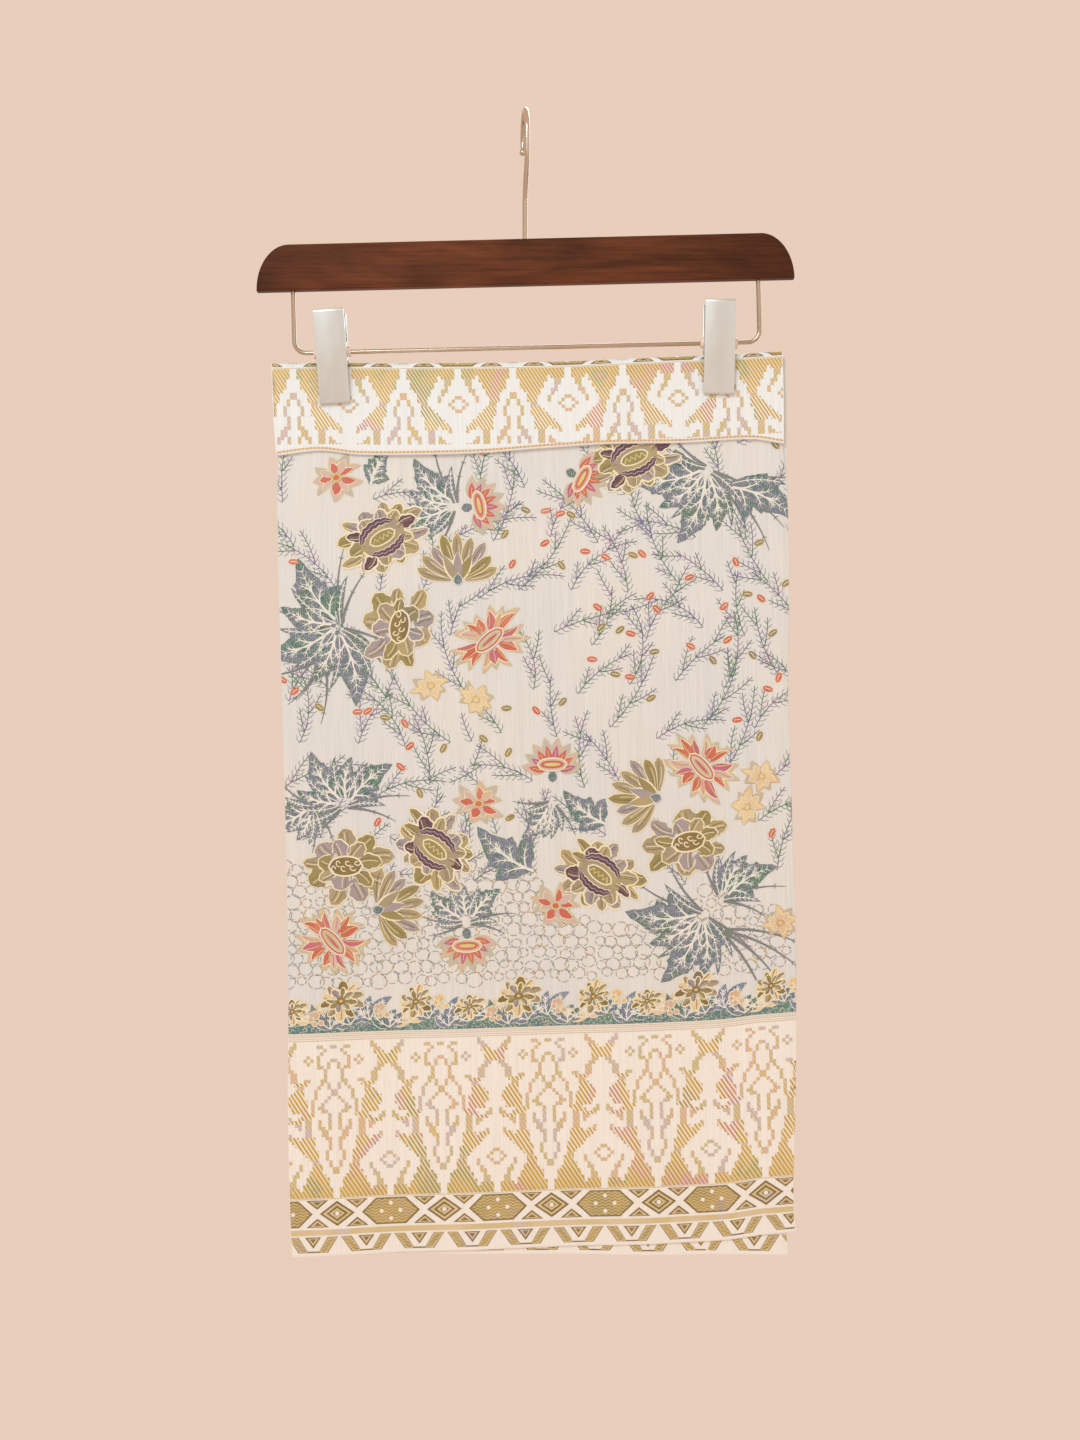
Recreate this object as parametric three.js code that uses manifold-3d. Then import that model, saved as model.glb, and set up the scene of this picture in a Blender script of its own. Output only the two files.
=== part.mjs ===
// A samping, one length of brocade cloth, folded flat and held by the two clips of a wooden hanger.
// Millimetres, +Z up. The origin is the top of the hook's inside, where the hook bears on a rail.
// X runs along the hanger bar and -Y is the front. The bar and all below it hang a little off level.
import * as THREE from 'three';
import { mergeVertices } from 'three/addons/utils/BufferGeometryUtils.js';
import Module from 'manifold-3d';

const wasm = await Module();
wasm.setup();

// ---------------------------------------------------------------- driving dimensions
const degrees = THREE.MathUtils.degToRad;
const gap = 0.3; // between pieces that touch
const looseGap = 0.45; // round what hangs askew in its hole
const hangTilt = degrees(1.4); // the bar's right end is the higher one
const tiltHeight = -100; // the bar tilts about the hook's stem at this height

const bar = {
  length: 360, height: 30.5, thickness: 12, top: -85.3,
  shoulder: 22, // how far the curved ends come in along the top
  bevel: 1.2, hookSocket: 22, legSocket: 12,
};
bar.bottom = bar.top - bar.height;

const hook = {
  wire: 3.4, innerRadius: 16, turn: degrees(5), // its plane is turned about the stem
  tipDrop: 7, // the back strand runs this far below the arc's centre
  neckTop: -29, neckBottom: -60, tipRadius: 2.3,
};
hook.arcRadius = hook.innerRadius + hook.wire / 2;
hook.arcHeight = -hook.innerRadius;

const rod = { wire: 3, halfSpan: 156, height: -157.5, bendRadius: 8 };

// Each clip is two shallow trays that turn on a bush round the rod, held shut by a spring.
const clip = {
  width: 20.4, above: 28.8, below: 34.2, // from the rod along the plates
  sheet: 1, depth: 3, chamfer: 0.8, flare: degrees(6), // each plate's tilt
  earRadius: 5.5, earFoot: 7, earInset: 1.4,
  bushRadius: 3.75, bushLength: 25,
  springWire: 1.2, springTurns: 6, springPitch: 1.35, springReach: 14,
};
const clips = [
  { side: 'left', x: -130.7, lean: degrees(2.5) },
  { side: 'right', x: 128.7, lean: degrees(-2.3) },
];

// The folded cloth from front to back: the waist turned down over the front and a little way down
// the back, then the front panel, the layers between and the back panel.
const pack = {
  front: -4.35, waist: 1.2, panel: 1, inner: 1.9,
  backDrop: 30, // the waist's edge hangs this far down the back
  panelDrop: 3, // from the top fold down to the panels inside it
  loosen: 1.3, // how much thicker the inner layers get towards the hem
  innerLayers: 4, ridge: 0.5, terrace: 1.6,
};
pack.frontPanel = pack.front + 2 * pack.waist + gap;
pack.innerFront = pack.frontPanel + pack.panel + gap;
pack.backPanel = pack.innerFront + pack.inner + gap;
pack.turnover = pack.backPanel + pack.panel + gap;
pack.back = pack.turnover + pack.waist;

clip.arm = clip.depth + (pack.back + gap + clip.below * Math.sin(clip.flare)) / Math.cos(clip.flare);

// ---------------------------------------------------------------- the cloth's outlines and folds
// All as they would hang from a level bar.
const topEdge = [
  { x: -171, z: -164.0 }, { x: -131, z: -164.6 }, { x: -85, z: -166.1 }, { x: -30, z: -167.0 },
  { x: 26, z: -167.4 }, { x: 80, z: -166.4 }, { x: 129, z: -165.6 }, { x: 171, z: -164.2 },
];
const waistHem = [
  { x: -170, z: -226.4 }, { x: -141, z: -223.7 }, { x: -116, z: -227.0 }, { x: -70, z: -228.2 },
  { x: -30, z: -227.9 }, { x: 8, z: -225.8 }, { x: 52, z: -224.1 }, { x: 102, z: -224.4 },
  { x: 149, z: -223.1 }, { x: 170, z: -226.6 },
];
// How far the turned-down waist bellies out above its lower fold.
const waistBelly = [
  { x: -171, out: 0.8 }, { x: -143, out: 0 }, { x: -118, out: 0 }, { x: -62, out: 1.3 },
  { x: 4, out: 0.7 }, { x: 64, out: 1.4 }, { x: 116, out: 0 }, { x: 141, out: 0 }, { x: 171, out: 1.1 },
];
const waistSides = [
  { z: -164, left: -171.4, right: 170.9 }, { z: -200, left: -170.8, right: 170.8 },
  { z: -227, left: -169.4, right: 170.0 },
];
const frontSides = [
  { z: -167, left: -169.2, right: 168.8 }, { z: -227, left: -169.0, right: 169.8 },
  { z: -260, left: -170.4, right: 172.2 }, { z: -316, left: -170.5, right: 172.0 },
  { z: -400, left: -170.2, right: 169.4 }, { z: -476, left: -170.0, right: 170.1 },
  { z: -570, left: -170.5, right: 170.3 }, { z: -663, left: -172.8, right: 168.0 },
  { z: -731, left: -173.2, right: 164.8 }, { z: -763, left: -172.4, right: 165.6 },
];
const frontHem = [
  { x: -172, z: -763.3 }, { x: -100, z: -761.8 }, { x: -12, z: -760.6 }, { x: 83, z: -760.0 },
  { x: 119, z: -759.0 }, { x: 143, z: -755.6 }, { x: 165, z: -754.2 },
];
const innerSides = [
  { z: -167, left: -168.2, right: 173.9 }, { z: -227, left: -167.8, right: 172.6 },
  { z: -400, left: -168.6, right: 168.0 }, { z: -600, left: -169.4, right: 163.4 },
  { z: -769, left: -170.8, right: 159.5 },
];
const innerHem = [
  { x: -171, z: -761.0 }, { x: -58, z: -763.6 }, { x: 20, z: -766.0 }, { x: 90, z: -768.2 },
  { x: 160, z: -769.2 },
];
const backSides = [
  { z: -167, left: -168.9, right: 169.6 }, { z: -227, left: -169.3, right: 169.9 },
  { z: -400, left: -169.8, right: 167.2 }, { z: -600, left: -171.0, right: 162.6 },
  { z: -764, left: -171.6, right: 158.2 },
];
const backHem = [
  { x: -171, z: -761.6 }, { x: -60, z: -760.4 }, { x: 60, z: -762.2 }, { x: 159, z: -765.0 },
];

// The soft upright folds that all layers share: a depth at the hem, towards the back (+) or the
// front (-), the height at which the fold dies out, and its drift sideways on the way down.
const flutes = [
  { x: -150, halfWidth: 20, depth: -1.5, fadeHeight: -330, drift: 5 },
  { x: -104, halfWidth: 27, depth: 1.8, fadeHeight: -262, drift: 8 },
  { x: -48, halfWidth: 32, depth: -2.2, fadeHeight: -300, drift: -7 },
  { x: 16, halfWidth: 30, depth: 1.5, fadeHeight: -240, drift: 6 },
  { x: 66, halfWidth: 24, depth: -1.7, fadeHeight: -355, drift: -4 },
  { x: 112, halfWidth: 28, depth: 2.1, fadeHeight: -278, drift: -9 },
  { x: 156, halfWidth: 18, depth: -2.2, fadeHeight: -245, drift: -3 },
];
const hemHeight = -763;

// All panels share these columns and heights, so that their facets stay parallel.
const grid = {
  innerX: 145, columns: 16, edgeColumns: 3,
  heights: [-192, -227, -268, -320, -385, -455, -530, -610, -690],
};

// ---------------------------------------------------------------- numbers from the tables
// A smooth curve through a table's rows, flat beyond its ends.
function tableAt(table, key, column, at) {
  const last = table.length - 1;
  const rising = table[last][key] > table[0][key];
  let i = 0;
  while (i < last - 1 && (rising ? at > table[i + 1][key] : at < table[i + 1][key])) i += 1;
  const [a, b] = [table[i], table[i + 1]];
  const [before, after] = [table[Math.max(i - 1, 0)], table[Math.min(i + 2, last)]];
  const span = b[key] - a[key];
  const slopeA = ((b[column] - before[column]) / (b[key] - before[key])) * span;
  const slopeB = ((after[column] - a[column]) / (after[key] - a[key])) * span;
  const t = THREE.MathUtils.clamp((at - a[key]) / span, 0, 1);
  const rest = 1 - t;
  return a[column] * (1 + 2 * t) * rest * rest + slopeA * t * rest * rest
    + b[column] * (3 - 2 * t) * t * t - slopeB * t * t * rest;
}

// 0 at the first height and above, 1 at the hem.
function grownFrom(height, z) {
  return THREE.MathUtils.smoothstep(height - z, 0, height - hemHeight);
}

function foldDepth(x, z) {
  let depth = 0;
  for (const flute of flutes) {
    const grown = grownFrom(flute.fadeHeight, z);
    const offset = (x - flute.x - flute.drift * grown) / flute.halfWidth;
    depth += flute.depth * grown * Math.exp(-offset * offset);
  }
  return depth;
}

function loosened(z) {
  return pack.loosen * grownFrom(-230, z);
}

// ---------------------------------------------------------------- geometry helpers
function closedGeometry(points, triangles) {
  let volume = 0;
  for (const [a, b, c] of triangles) {
    volume += points[a].dot(new THREE.Vector3().crossVectors(points[b], points[c]));
  }
  const facingOut = volume > 0 ? triangles : triangles.map(([a, b, c]) => [a, c, b]);
  const geometry = new THREE.BufferGeometry();
  geometry.setAttribute('position', new THREE.Float32BufferAttribute(points.flatMap((p) => p.toArray()), 3));
  geometry.setIndex(facingOut.flat());
  geometry.computeVertexNormals();
  return geometry;
}

// A solid through closed sections. Each section goes out along one chain of points, round a turn,
// back along a chain as long as the first, and round the near turn.
function loft(sections) {
  const chain = sections[0].out.length;
  const farCount = sections[0].far.length;
  const count = 2 * chain + farCount + sections[0].near.length;
  const points = sections.flatMap((s) => [...s.out, ...s.far, ...[...s.back].reverse(), ...s.near]);
  const triangles = [];
  for (let row = 0; row + 1 < sections.length; row += 1) {
    for (let i = 0; i < count; i += 1) {
      const a = row * count + i;
      const b = row * count + ((i + 1) % count);
      triangles.push([a, b, b + count], [a, b + count, a + count]);
    }
  }
  const backIndex = (i) => 2 * chain + farCount - 1 - i;
  const cap = [];
  for (let i = 0; i + 1 < chain; i += 1) {
    cap.push([i, i + 1, backIndex(i + 1)], [i, backIndex(i + 1), backIndex(i)]);
  }
  for (let i = 0; i < farCount; i += 1) {
    cap.push([chain - 1, chain + i, chain + i + 1]);
  }
  for (let i = 2 * chain + farCount; i < count; i += 1) {
    cap.push([backIndex(0), i, (i + 1) % count]);
  }
  const lastRow = (sections.length - 1) * count;
  for (const [a, b, c] of cap) {
    triangles.push([a, c, b], [lastRow + a, lastRow + b, lastRow + c]);
  }
  return closedGeometry(points, triangles);
}

function toSolid(geometry) {
  const bare = geometry.clone();
  bare.deleteAttribute('normal');
  bare.deleteAttribute('uv');
  const merged = mergeVertices(bare, 1e-4);
  return new wasm.Manifold(new wasm.Mesh({
    numProp: 3,
    vertProperties: new Float32Array(merged.attributes.position.array),
    triVerts: new Uint32Array(merged.index.array),
  }));
}

function toGeometry(solid) {
  const { vertProperties, triVerts } = solid.getMesh();
  const geometry = new THREE.BufferGeometry();
  geometry.setAttribute('position', new THREE.Float32BufferAttribute(vertProperties, 3));
  geometry.setIndex(new THREE.Uint32BufferAttribute(triVerts, 1));
  geometry.computeVertexNormals();
  return geometry;
}

function circle(radius, x = 0, y = 0) {
  return new THREE.Shape().absarc(x, y, radius, 0, 2 * Math.PI);
}

// Wire bent through stations: the extrusion has one section at each of them.
class BentWire extends THREE.Curve {
  constructor(stations) {
    super();
    this.stations = stations;
  }

  getPoint(t, target = new THREE.Vector3()) {
    const at = t * (this.stations.length - 1);
    const i = Math.min(Math.floor(at), this.stations.length - 2);
    return target.lerpVectors(this.stations[i], this.stations[i + 1], at - i);
  }

  getPointAt(u, target) {
    return this.getPoint(u, target);
  }

  getTangentAt(u, target = new THREE.Vector3()) {
    const last = this.stations.length - 1;
    const i = Math.round(u * last);
    return target.subVectors(this.stations[Math.min(i + 1, last)], this.stations[Math.max(i - 1, 0)]).normalize();
  }
}

function wireGeometry(stations, diameter, sides) {
  return new THREE.ExtrudeGeometry(circle(diameter / 2), {
    steps: stations.length - 1,
    curveSegments: sides,
    bevelEnabled: false,
    extrudePath: new BentWire(stations),
  });
}

// ---------------------------------------------------------------- materials
const colours = {
  wood: new THREE.MeshStandardMaterial({ color: 0x6b3f2e, roughness: 0.45, metalness: 0 }),
  nickel: new THREE.MeshStandardMaterial({ color: 0xd3c6b8, roughness: 0.25, metalness: 1 }),
  clip: new THREE.MeshStandardMaterial({ color: 0xd3ccbf, roughness: 0.4, metalness: 1 }),
  bush: new THREE.MeshStandardMaterial({ color: 0xf2ddd0, roughness: 0.4, metalness: 0 }),
  brocade: new THREE.MeshStandardMaterial({ color: 0xeadfd2, roughness: 0.6, metalness: 0 }),
};

// ---------------------------------------------------------------- the hanger
// A long bar with a sharp lower tip at each end and a quarter ellipse above it.
function barGeometry() {
  const outline = new THREE.Shape();
  const straight = bar.length / 2 - bar.shoulder;
  outline.moveTo(-bar.length / 2, bar.bottom);
  outline.lineTo(bar.length / 2, bar.bottom);
  outline.absellipse(straight, bar.bottom, bar.shoulder, bar.height, 0, Math.PI / 2);
  outline.lineTo(-straight, bar.top);
  outline.absellipse(-straight, bar.bottom, bar.shoulder, bar.height, Math.PI / 2, Math.PI);
  const body = new THREE.ExtrudeGeometry(outline, {
    depth: bar.thickness - 2 * bar.bevel,
    curveSegments: 8,
    bevelThickness: bar.bevel,
    bevelSize: bar.bevel,
    bevelOffset: -bar.bevel,
    bevelSegments: 2,
  });
  body.translate(0, 0, bar.bevel - bar.thickness / 2);
  body.rotateX(Math.PI / 2);

  const socket = (radius, x, end, depth) => {
    const clear = 1; // the cutter stands out of the wood
    const cutter = new THREE.CylinderGeometry(radius, radius, depth + clear, 20);
    cutter.rotateX(Math.PI / 2);
    cutter.translate(x, 0, end === bar.top ? end - (depth - clear) / 2 : end + (depth - clear) / 2);
    return toSolid(cutter);
  };
  const legHole = rod.wire / 2 + gap;
  return toGeometry(toSolid(body)
    .subtract(socket(hook.wire / 2 + looseGap, 0, bar.top, bar.hookSocket))
    .subtract(socket(legHole, -rod.halfSpan, bar.bottom, bar.legSocket))
    .subtract(socket(legHole, rod.halfSpan, bar.bottom, bar.legSocket)));
}

// The wire rises from the bar, swings to the front, goes over the rail and ends in a ball behind it.
function hookGeometry() {
  const at = (y, z) => new THREE.Vector3(0, y, z);
  const stations = [at(0, bar.top - bar.hookSocket + gap), at(0, hook.neckBottom)];
  const neckSteps = 8;
  for (let i = 1; i < neckSteps; i += 1) {
    const t = i / neckSteps;
    const swing = t * t * (3 - 2 * t);
    stations.push(at(-hook.arcRadius * swing, THREE.MathUtils.lerp(hook.neckBottom, hook.neckTop, t)));
  }
  const arcSteps = 16;
  stations.push(at(-hook.arcRadius, hook.neckTop));
  for (let i = 0; i <= arcSteps; i += 1) {
    const angle = Math.PI * (1 - i / arcSteps);
    stations.push(at(hook.arcRadius * Math.cos(angle), hook.arcHeight + hook.arcRadius * Math.sin(angle)));
  }
  const tip = at(hook.arcRadius, hook.arcHeight - hook.tipDrop);
  stations.push(tip);
  const ball = new THREE.SphereGeometry(hook.tipRadius, 14, 8).translate(tip.x, tip.y, tip.z);
  return toGeometry(toSolid(wireGeometry(stations, hook.wire, 12)).add(toSolid(ball)));
}

// One wire: down from the bar, along under it and up again.
function rodGeometry() {
  const at = (x, z) => new THREE.Vector3(x, 0, z);
  const legTop = bar.bottom + bar.legSocket - gap;
  const bend = rod.bendRadius;
  const bendSteps = 5;
  const stations = [at(-rod.halfSpan, legTop)];
  for (const side of [-1, 1]) {
    for (let i = 0; i <= bendSteps; i += 1) {
      const angle = (Math.PI / 2) * (side < 0 ? i / bendSteps : 1 - i / bendSteps);
      stations.push(at(side * (rod.halfSpan - bend + bend * Math.cos(angle)), rod.height + bend - bend * Math.sin(angle)));
    }
  }
  stations.push(at(rod.halfSpan, legTop));
  return wireGeometry(stations, rod.wire, 10);
}

// A tray with its outer face at y = 0, its hollow towards +Y and its ears round the rod's axis,
// which runs along X through y = clip.arm, z = 0.
function plateGeometry(earOuter) {
  const side = new THREE.Shape([
    [0, -clip.below + clip.chamfer], [0, clip.above - clip.chamfer], [clip.chamfer, clip.above],
    [clip.depth, clip.above], [clip.depth, -clip.below], [clip.chamfer, -clip.below],
  ].map(([y, z]) => new THREE.Vector2(y, z)));
  const alongX = (shape, from, to) => {
    const geometry = new THREE.ExtrudeGeometry(shape, { depth: to - from, curveSegments: 10, bevelEnabled: false });
    geometry.applyMatrix4(new THREE.Matrix4().makeBasis(
      new THREE.Vector3(0, 1, 0), new THREE.Vector3(0, 0, 1), new THREE.Vector3(1, 0, 0),
    ));
    return geometry.translate(from, 0, 0);
  };
  const half = clip.width / 2;
  const inside = clip.width - 2 * clip.sheet;
  const length = clip.above + clip.below - 2 * clip.sheet;
  const hollow = new THREE.BoxGeometry(inside, clip.depth, length)
    .translate(0, clip.sheet + clip.depth / 2, (clip.above - clip.below) / 2);
  let plate = toSolid(alongX(side, -half, half)).subtract(toSolid(hollow));

  const ear = new THREE.Shape();
  const root = clip.sheet / 2;
  ear.moveTo(root, -clip.earFoot);
  ear.lineTo(clip.arm, -clip.earRadius);
  ear.absarc(clip.arm, 0, clip.earRadius, -Math.PI / 2, Math.PI / 2);
  ear.lineTo(root, clip.earFoot);
  ear.holes.push(circle(clip.bushRadius + gap, clip.arm, 0));
  for (const from of [-earOuter, earOuter - clip.sheet]) {
    plate = plate.add(toSolid(alongX(ear, from, from + clip.sheet)));
  }
  return toGeometry(plate);
}

// The wound turns round the bush, with a leg to each plate.
function springGeometry() {
  const inner = clip.bushRadius + gap;
  const wire = clip.springWire;
  const width = clip.springTurns * clip.springPitch;
  const profile = [new THREE.Vector2(inner, -width / 2)];
  for (let turn = 0; turn < clip.springTurns; turn += 1) {
    const start = -width / 2 + turn * clip.springPitch;
    profile.push(new THREE.Vector2(inner + wire * 0.7, start));
    profile.push(new THREE.Vector2(inner + wire, start + clip.springPitch / 2));
  }
  profile.push(new THREE.Vector2(inner + wire * 0.7, width / 2), new THREE.Vector2(inner, width / 2));
  profile.push(profile[0].clone());
  const turns = new THREE.LatheGeometry(profile, 14).rotateZ(-Math.PI / 2);
  let spring = toSolid(turns);
  const plateFloor = clip.arm - clip.sheet - gap - wire / 2;
  for (const side of [-1, 1]) {
    const x = (side * (width - wire)) / 2;
    const start = new THREE.Vector3(x, side * (inner + wire / 2), 0);
    const end = new THREE.Vector3(x, side * (plateFloor + clip.springReach * Math.sin(clip.flare)), clip.springReach);
    spring = spring.add(toSolid(wireGeometry([start, end], wire, 6)));
  }
  return toGeometry(spring);
}

function bushGeometry() {
  const half = clip.bushLength / 2;
  const bore = rod.wire / 2 + half * Math.sin(clips[0].lean) + gap;
  const profile = [[bore, -half], [clip.bushRadius, -half], [clip.bushRadius, half], [bore, half], [bore, -half]];
  return new THREE.LatheGeometry(profile.map(([r, y]) => new THREE.Vector2(r, y)), 20).rotateZ(-Math.PI / 2);
}

// ---------------------------------------------------------------- the cloth
// The columns of a wall at one height: evenly over its middle, closer at its sides.
function columnsBetween(left, right) {
  const columns = [];
  for (let i = 0; i < grid.edgeColumns; i += 1) {
    columns.push(THREE.MathUtils.lerp(left, -grid.innerX, i / grid.edgeColumns));
  }
  for (let i = 0; i <= grid.columns; i += 1) {
    columns.push(THREE.MathUtils.lerp(-grid.innerX, grid.innerX, i / grid.columns));
  }
  for (let i = 1; i <= grid.edgeColumns; i += 1) {
    columns.push(THREE.MathUtils.lerp(grid.innerX, right, i / grid.edgeColumns));
  }
  return columns;
}

// A hanging wall. frontAt gives its front face, thicknessAt its wall, and layers how many folds show
// at its sides. foot lists how the wall ends: heights above the hem and the share of it left there.
function wallGeometry({ sides, hem, frontAt, thicknessAt, layers, foot }) {
  const sectionAt = (heightAt, level, nearSide, farSide) => {
    const side = (name) => tableAt(sides, 'z', name, level);
    const [left, right] = [side('left'), side('right')];
    const inset = layers > 1 ? pack.ridge : thicknessAt(level) / 2;
    const place = (x, share) => {
      const z = heightAt(x);
      const through = THREE.MathUtils.lerp(nearSide, farSide, share);
      return new THREE.Vector3(x, frontAt(x, z) + through * thicknessAt(z), z);
    };
    const columns = columnsBetween(left + inset, right - inset);
    const ridges = (edge, inward) => {
      const turn = [];
      for (let layer = 0; layer < layers; layer += 1) {
        if (layer > 0) turn.push(place(edge + inward * inset * 0.8, layer / layers));
        turn.push(place(edge, (layer + 0.5) / layers));
      }
      return turn;
    };
    return {
      out: columns.map((x) => place(x, 0)),
      far: ridges(right, -1),
      back: columns.map((x) => place(x, 1)),
      near: ridges(left, 1).reverse(),
    };
  };
  const topAt = (x) => tableAt(topEdge, 'x', 'z', x) - pack.panelDrop;
  const hemAt = (x) => tableAt(hem, 'x', 'z', x);
  const topLevel = sides[0].z;
  const rounding = pack.panel / 2;
  const sections = [
    sectionAt(topAt, topLevel, 0.3, 0.7),
    sectionAt((x) => topAt(x) - rounding, topLevel, 0, 1),
    ...grid.heights.map((z) => sectionAt(() => z, z, 0, 1)),
    ...foot.map(({ above, from, to }) => sectionAt((x) => hemAt(x) + above, hemHeight, from, to)),
  ];
  return loft(sections);
}

function frontPanelGeometry() {
  return wallGeometry({
    sides: frontSides,
    hem: frontHem,
    frontAt: (x, z) => pack.frontPanel + foldDepth(x, z) - loosened(z) / 3,
    thicknessAt: () => pack.panel,
    layers: 1,
    foot: [{ above: 0.5, from: 0, to: 1 }, { above: 0, from: 0.3, to: 0.7 }],
  });
}

// The hidden layers as one solid. Each ends a little above the one in front of it.
function innerLayersGeometry() {
  const foot = [];
  for (let left = pack.innerLayers; left > 0; left -= 1) {
    const above = (left - 1) * pack.terrace;
    const share = left / pack.innerLayers;
    foot.push({ above: above + pack.terrace * 0.9, from: 0, to: share });
    foot.push({ above: above + pack.terrace * 0.15, from: 0, to: share - 0.04 });
  }
  foot.push({ above: 0, from: 0.07, to: 0.15 });
  return wallGeometry({
    sides: innerSides,
    hem: innerHem,
    frontAt: (x, z) => pack.innerFront + foldDepth(x, z) - loosened(z) / 3,
    thicknessAt: (z) => pack.inner + loosened(z),
    layers: pack.innerLayers,
    foot,
  });
}

function backPanelGeometry() {
  return wallGeometry({
    sides: backSides,
    hem: backHem,
    frontAt: (x, z) => pack.backPanel + foldDepth(x, z) + (loosened(z) * 2) / 3,
    thicknessAt: () => pack.panel,
    layers: 1,
    foot: [{ above: 0.5, from: 0, to: 1 }, { above: 0, from: 0.3, to: 0.7 }],
  });
}

// The turned-down waist: from its edge at the back up over the top, down the front, and folded up
// behind itself, so that its front leg is two layers thick.
function waistGeometry() {
  const middle = (pack.front + pack.back) / 2;
  const outerRadius = (pack.back - pack.front) / 2;
  const innerBack = pack.turnover;
  const innerFront = pack.front + 2 * pack.waist;
  const innerMiddle = (innerFront + innerBack) / 2;
  const innerRadius = (innerBack - innerFront) / 2;
  const archSteps = 6;
  const sectionAt = (share) => {
    const xAt = (z) => THREE.MathUtils.lerp(
      tableAt(waistSides, 'z', 'left', z),
      tableAt(waistSides, 'z', 'right', z),
      share,
    );
    const nominal = xAt(waistSides[1].z);
    const top = tableAt(topEdge, 'x', 'z', nominal);
    const hem = tableAt(waistHem, 'x', 'z', nominal);
    const belly = tableAt(waistBelly, 'x', 'out', nominal);
    const at = (y, z) => new THREE.Vector3(xAt(z), y, z);
    const out = [at(pack.back, top - pack.backDrop + pack.waist / 2)];
    const back = [at(pack.turnover, top - pack.backDrop + pack.waist / 2)];
    for (let i = 0; i <= archSteps; i += 1) {
      const angle = (Math.PI * i) / archSteps;
      const [sine, cosine] = [Math.sin(angle), Math.cos(angle)];
      out.push(at(middle + outerRadius * cosine, top - outerRadius + outerRadius * sine));
      back.push(at(innerMiddle + innerRadius * cosine, top - outerRadius + innerRadius * sine));
    }
    const legTop = top - outerRadius;
    const fold = pack.waist + belly / 4;
    const legBottom = hem + fold;
    for (const down of [0.35, 0.6, 0.82, 1]) {
      const z = THREE.MathUtils.lerp(legTop, legBottom, down);
      out.push(at(pack.front - belly * down * down, z));
      back.push(at(innerFront, z));
    }
    const foldFront = pack.front - belly;
    const turn = (share) => THREE.MathUtils.lerp(foldFront, innerFront, share);
    return {
      out,
      far: [at(turn(0.2), hem + fold * 0.3), at(turn(0.5), hem), at(turn(0.8), hem + fold * 0.3)],
      back,
      near: [at(pack.turnover + pack.waist / 2, top - pack.backDrop)],
    };
  };
  const columns = 22;
  const sections = [];
  for (let i = 0; i <= columns; i += 1) {
    sections.push(sectionAt(i / columns));
  }
  return loft(sections);
}

// ---------------------------------------------------------------- the model
const model = new THREE.Group();

function addPiece(parent, name, geometry, material) {
  const piece = new THREE.Mesh(geometry, material);
  piece.name = name;
  parent.add(piece);
  return piece;
}

addPiece(model, 'hook', hookGeometry(), colours.nickel).rotation.z = hook.turn;

const pivot = new THREE.Group();
pivot.position.z = tiltHeight;
pivot.rotation.y = -hangTilt;
model.add(pivot);
const hanging = new THREE.Group();
hanging.position.z = -tiltHeight;
pivot.add(hanging);

addPiece(hanging, 'hanger_bar', barGeometry(), colours.wood);
addPiece(hanging, 'clip_rod', rodGeometry(), colours.nickel);

for (const { side, x, lean } of clips) {
  const assembly = new THREE.Group();
  assembly.position.set(x, 0, rod.height);
  assembly.rotation.y = -lean;
  hanging.add(assembly);
  const outside = clip.width / 2;
  const plates = [
    { face: 'front', turned: 0, earOuter: outside },
    { face: 'back', turned: Math.PI, earOuter: outside - clip.earInset },
  ];
  for (const { face, turned, earOuter } of plates) {
    const facing = new THREE.Group();
    facing.rotation.z = turned;
    assembly.add(facing);
    const geometry = plateGeometry(earOuter).translate(0, -clip.arm, 0);
    addPiece(facing, `clip_${side}_${face}_plate`, geometry, colours.clip).rotation.x = clip.flare;
  }
  addPiece(assembly, `clip_${side}_spring`, springGeometry(), colours.nickel);
  addPiece(assembly, `clip_${side}_bush`, bushGeometry(), colours.bush);
}

addPiece(hanging, 'waist_flap', waistGeometry(), colours.brocade);
addPiece(hanging, 'front_panel', frontPanelGeometry(), colours.brocade);
addPiece(hanging, 'inner_layers', innerLayersGeometry(), colours.brocade);
addPiece(hanging, 'back_panel', backPanelGeometry(), colours.brocade);

export default model;
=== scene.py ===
"""A samping of songket-style brocade, folded flat and clipped to a wooden hanger.

Everything is modelled in millimetres as it would hang from a level bar, and then turned with the hanger.
x runs along the bar, -y is the front and +z is up, with the origin where the hook bears on its rail.
A place on the cloth is (u, b): u along the selvage from the middle, and b up the cloth from the selvage.
"""

import math
import random

import bmesh
import bpy
from mathutils import Matrix, Vector


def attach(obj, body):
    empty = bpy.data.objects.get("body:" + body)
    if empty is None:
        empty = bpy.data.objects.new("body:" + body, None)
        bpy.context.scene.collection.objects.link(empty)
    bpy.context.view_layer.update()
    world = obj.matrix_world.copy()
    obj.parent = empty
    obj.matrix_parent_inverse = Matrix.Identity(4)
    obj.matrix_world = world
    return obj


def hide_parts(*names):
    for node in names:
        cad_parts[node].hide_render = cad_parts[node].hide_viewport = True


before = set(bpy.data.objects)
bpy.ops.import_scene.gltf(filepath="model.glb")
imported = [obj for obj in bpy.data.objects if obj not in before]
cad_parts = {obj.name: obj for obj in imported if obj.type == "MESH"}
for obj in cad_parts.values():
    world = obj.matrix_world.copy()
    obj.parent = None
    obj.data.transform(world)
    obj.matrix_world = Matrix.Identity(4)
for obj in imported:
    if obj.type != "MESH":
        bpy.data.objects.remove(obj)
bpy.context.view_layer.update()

MM = 0.001

# ---------------------------------------------------------------- driving sizes, as in the solids
GAP = 0.3
HANG_TILT = math.radians(1.4)
TILT_HEIGHT = -100.0

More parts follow.
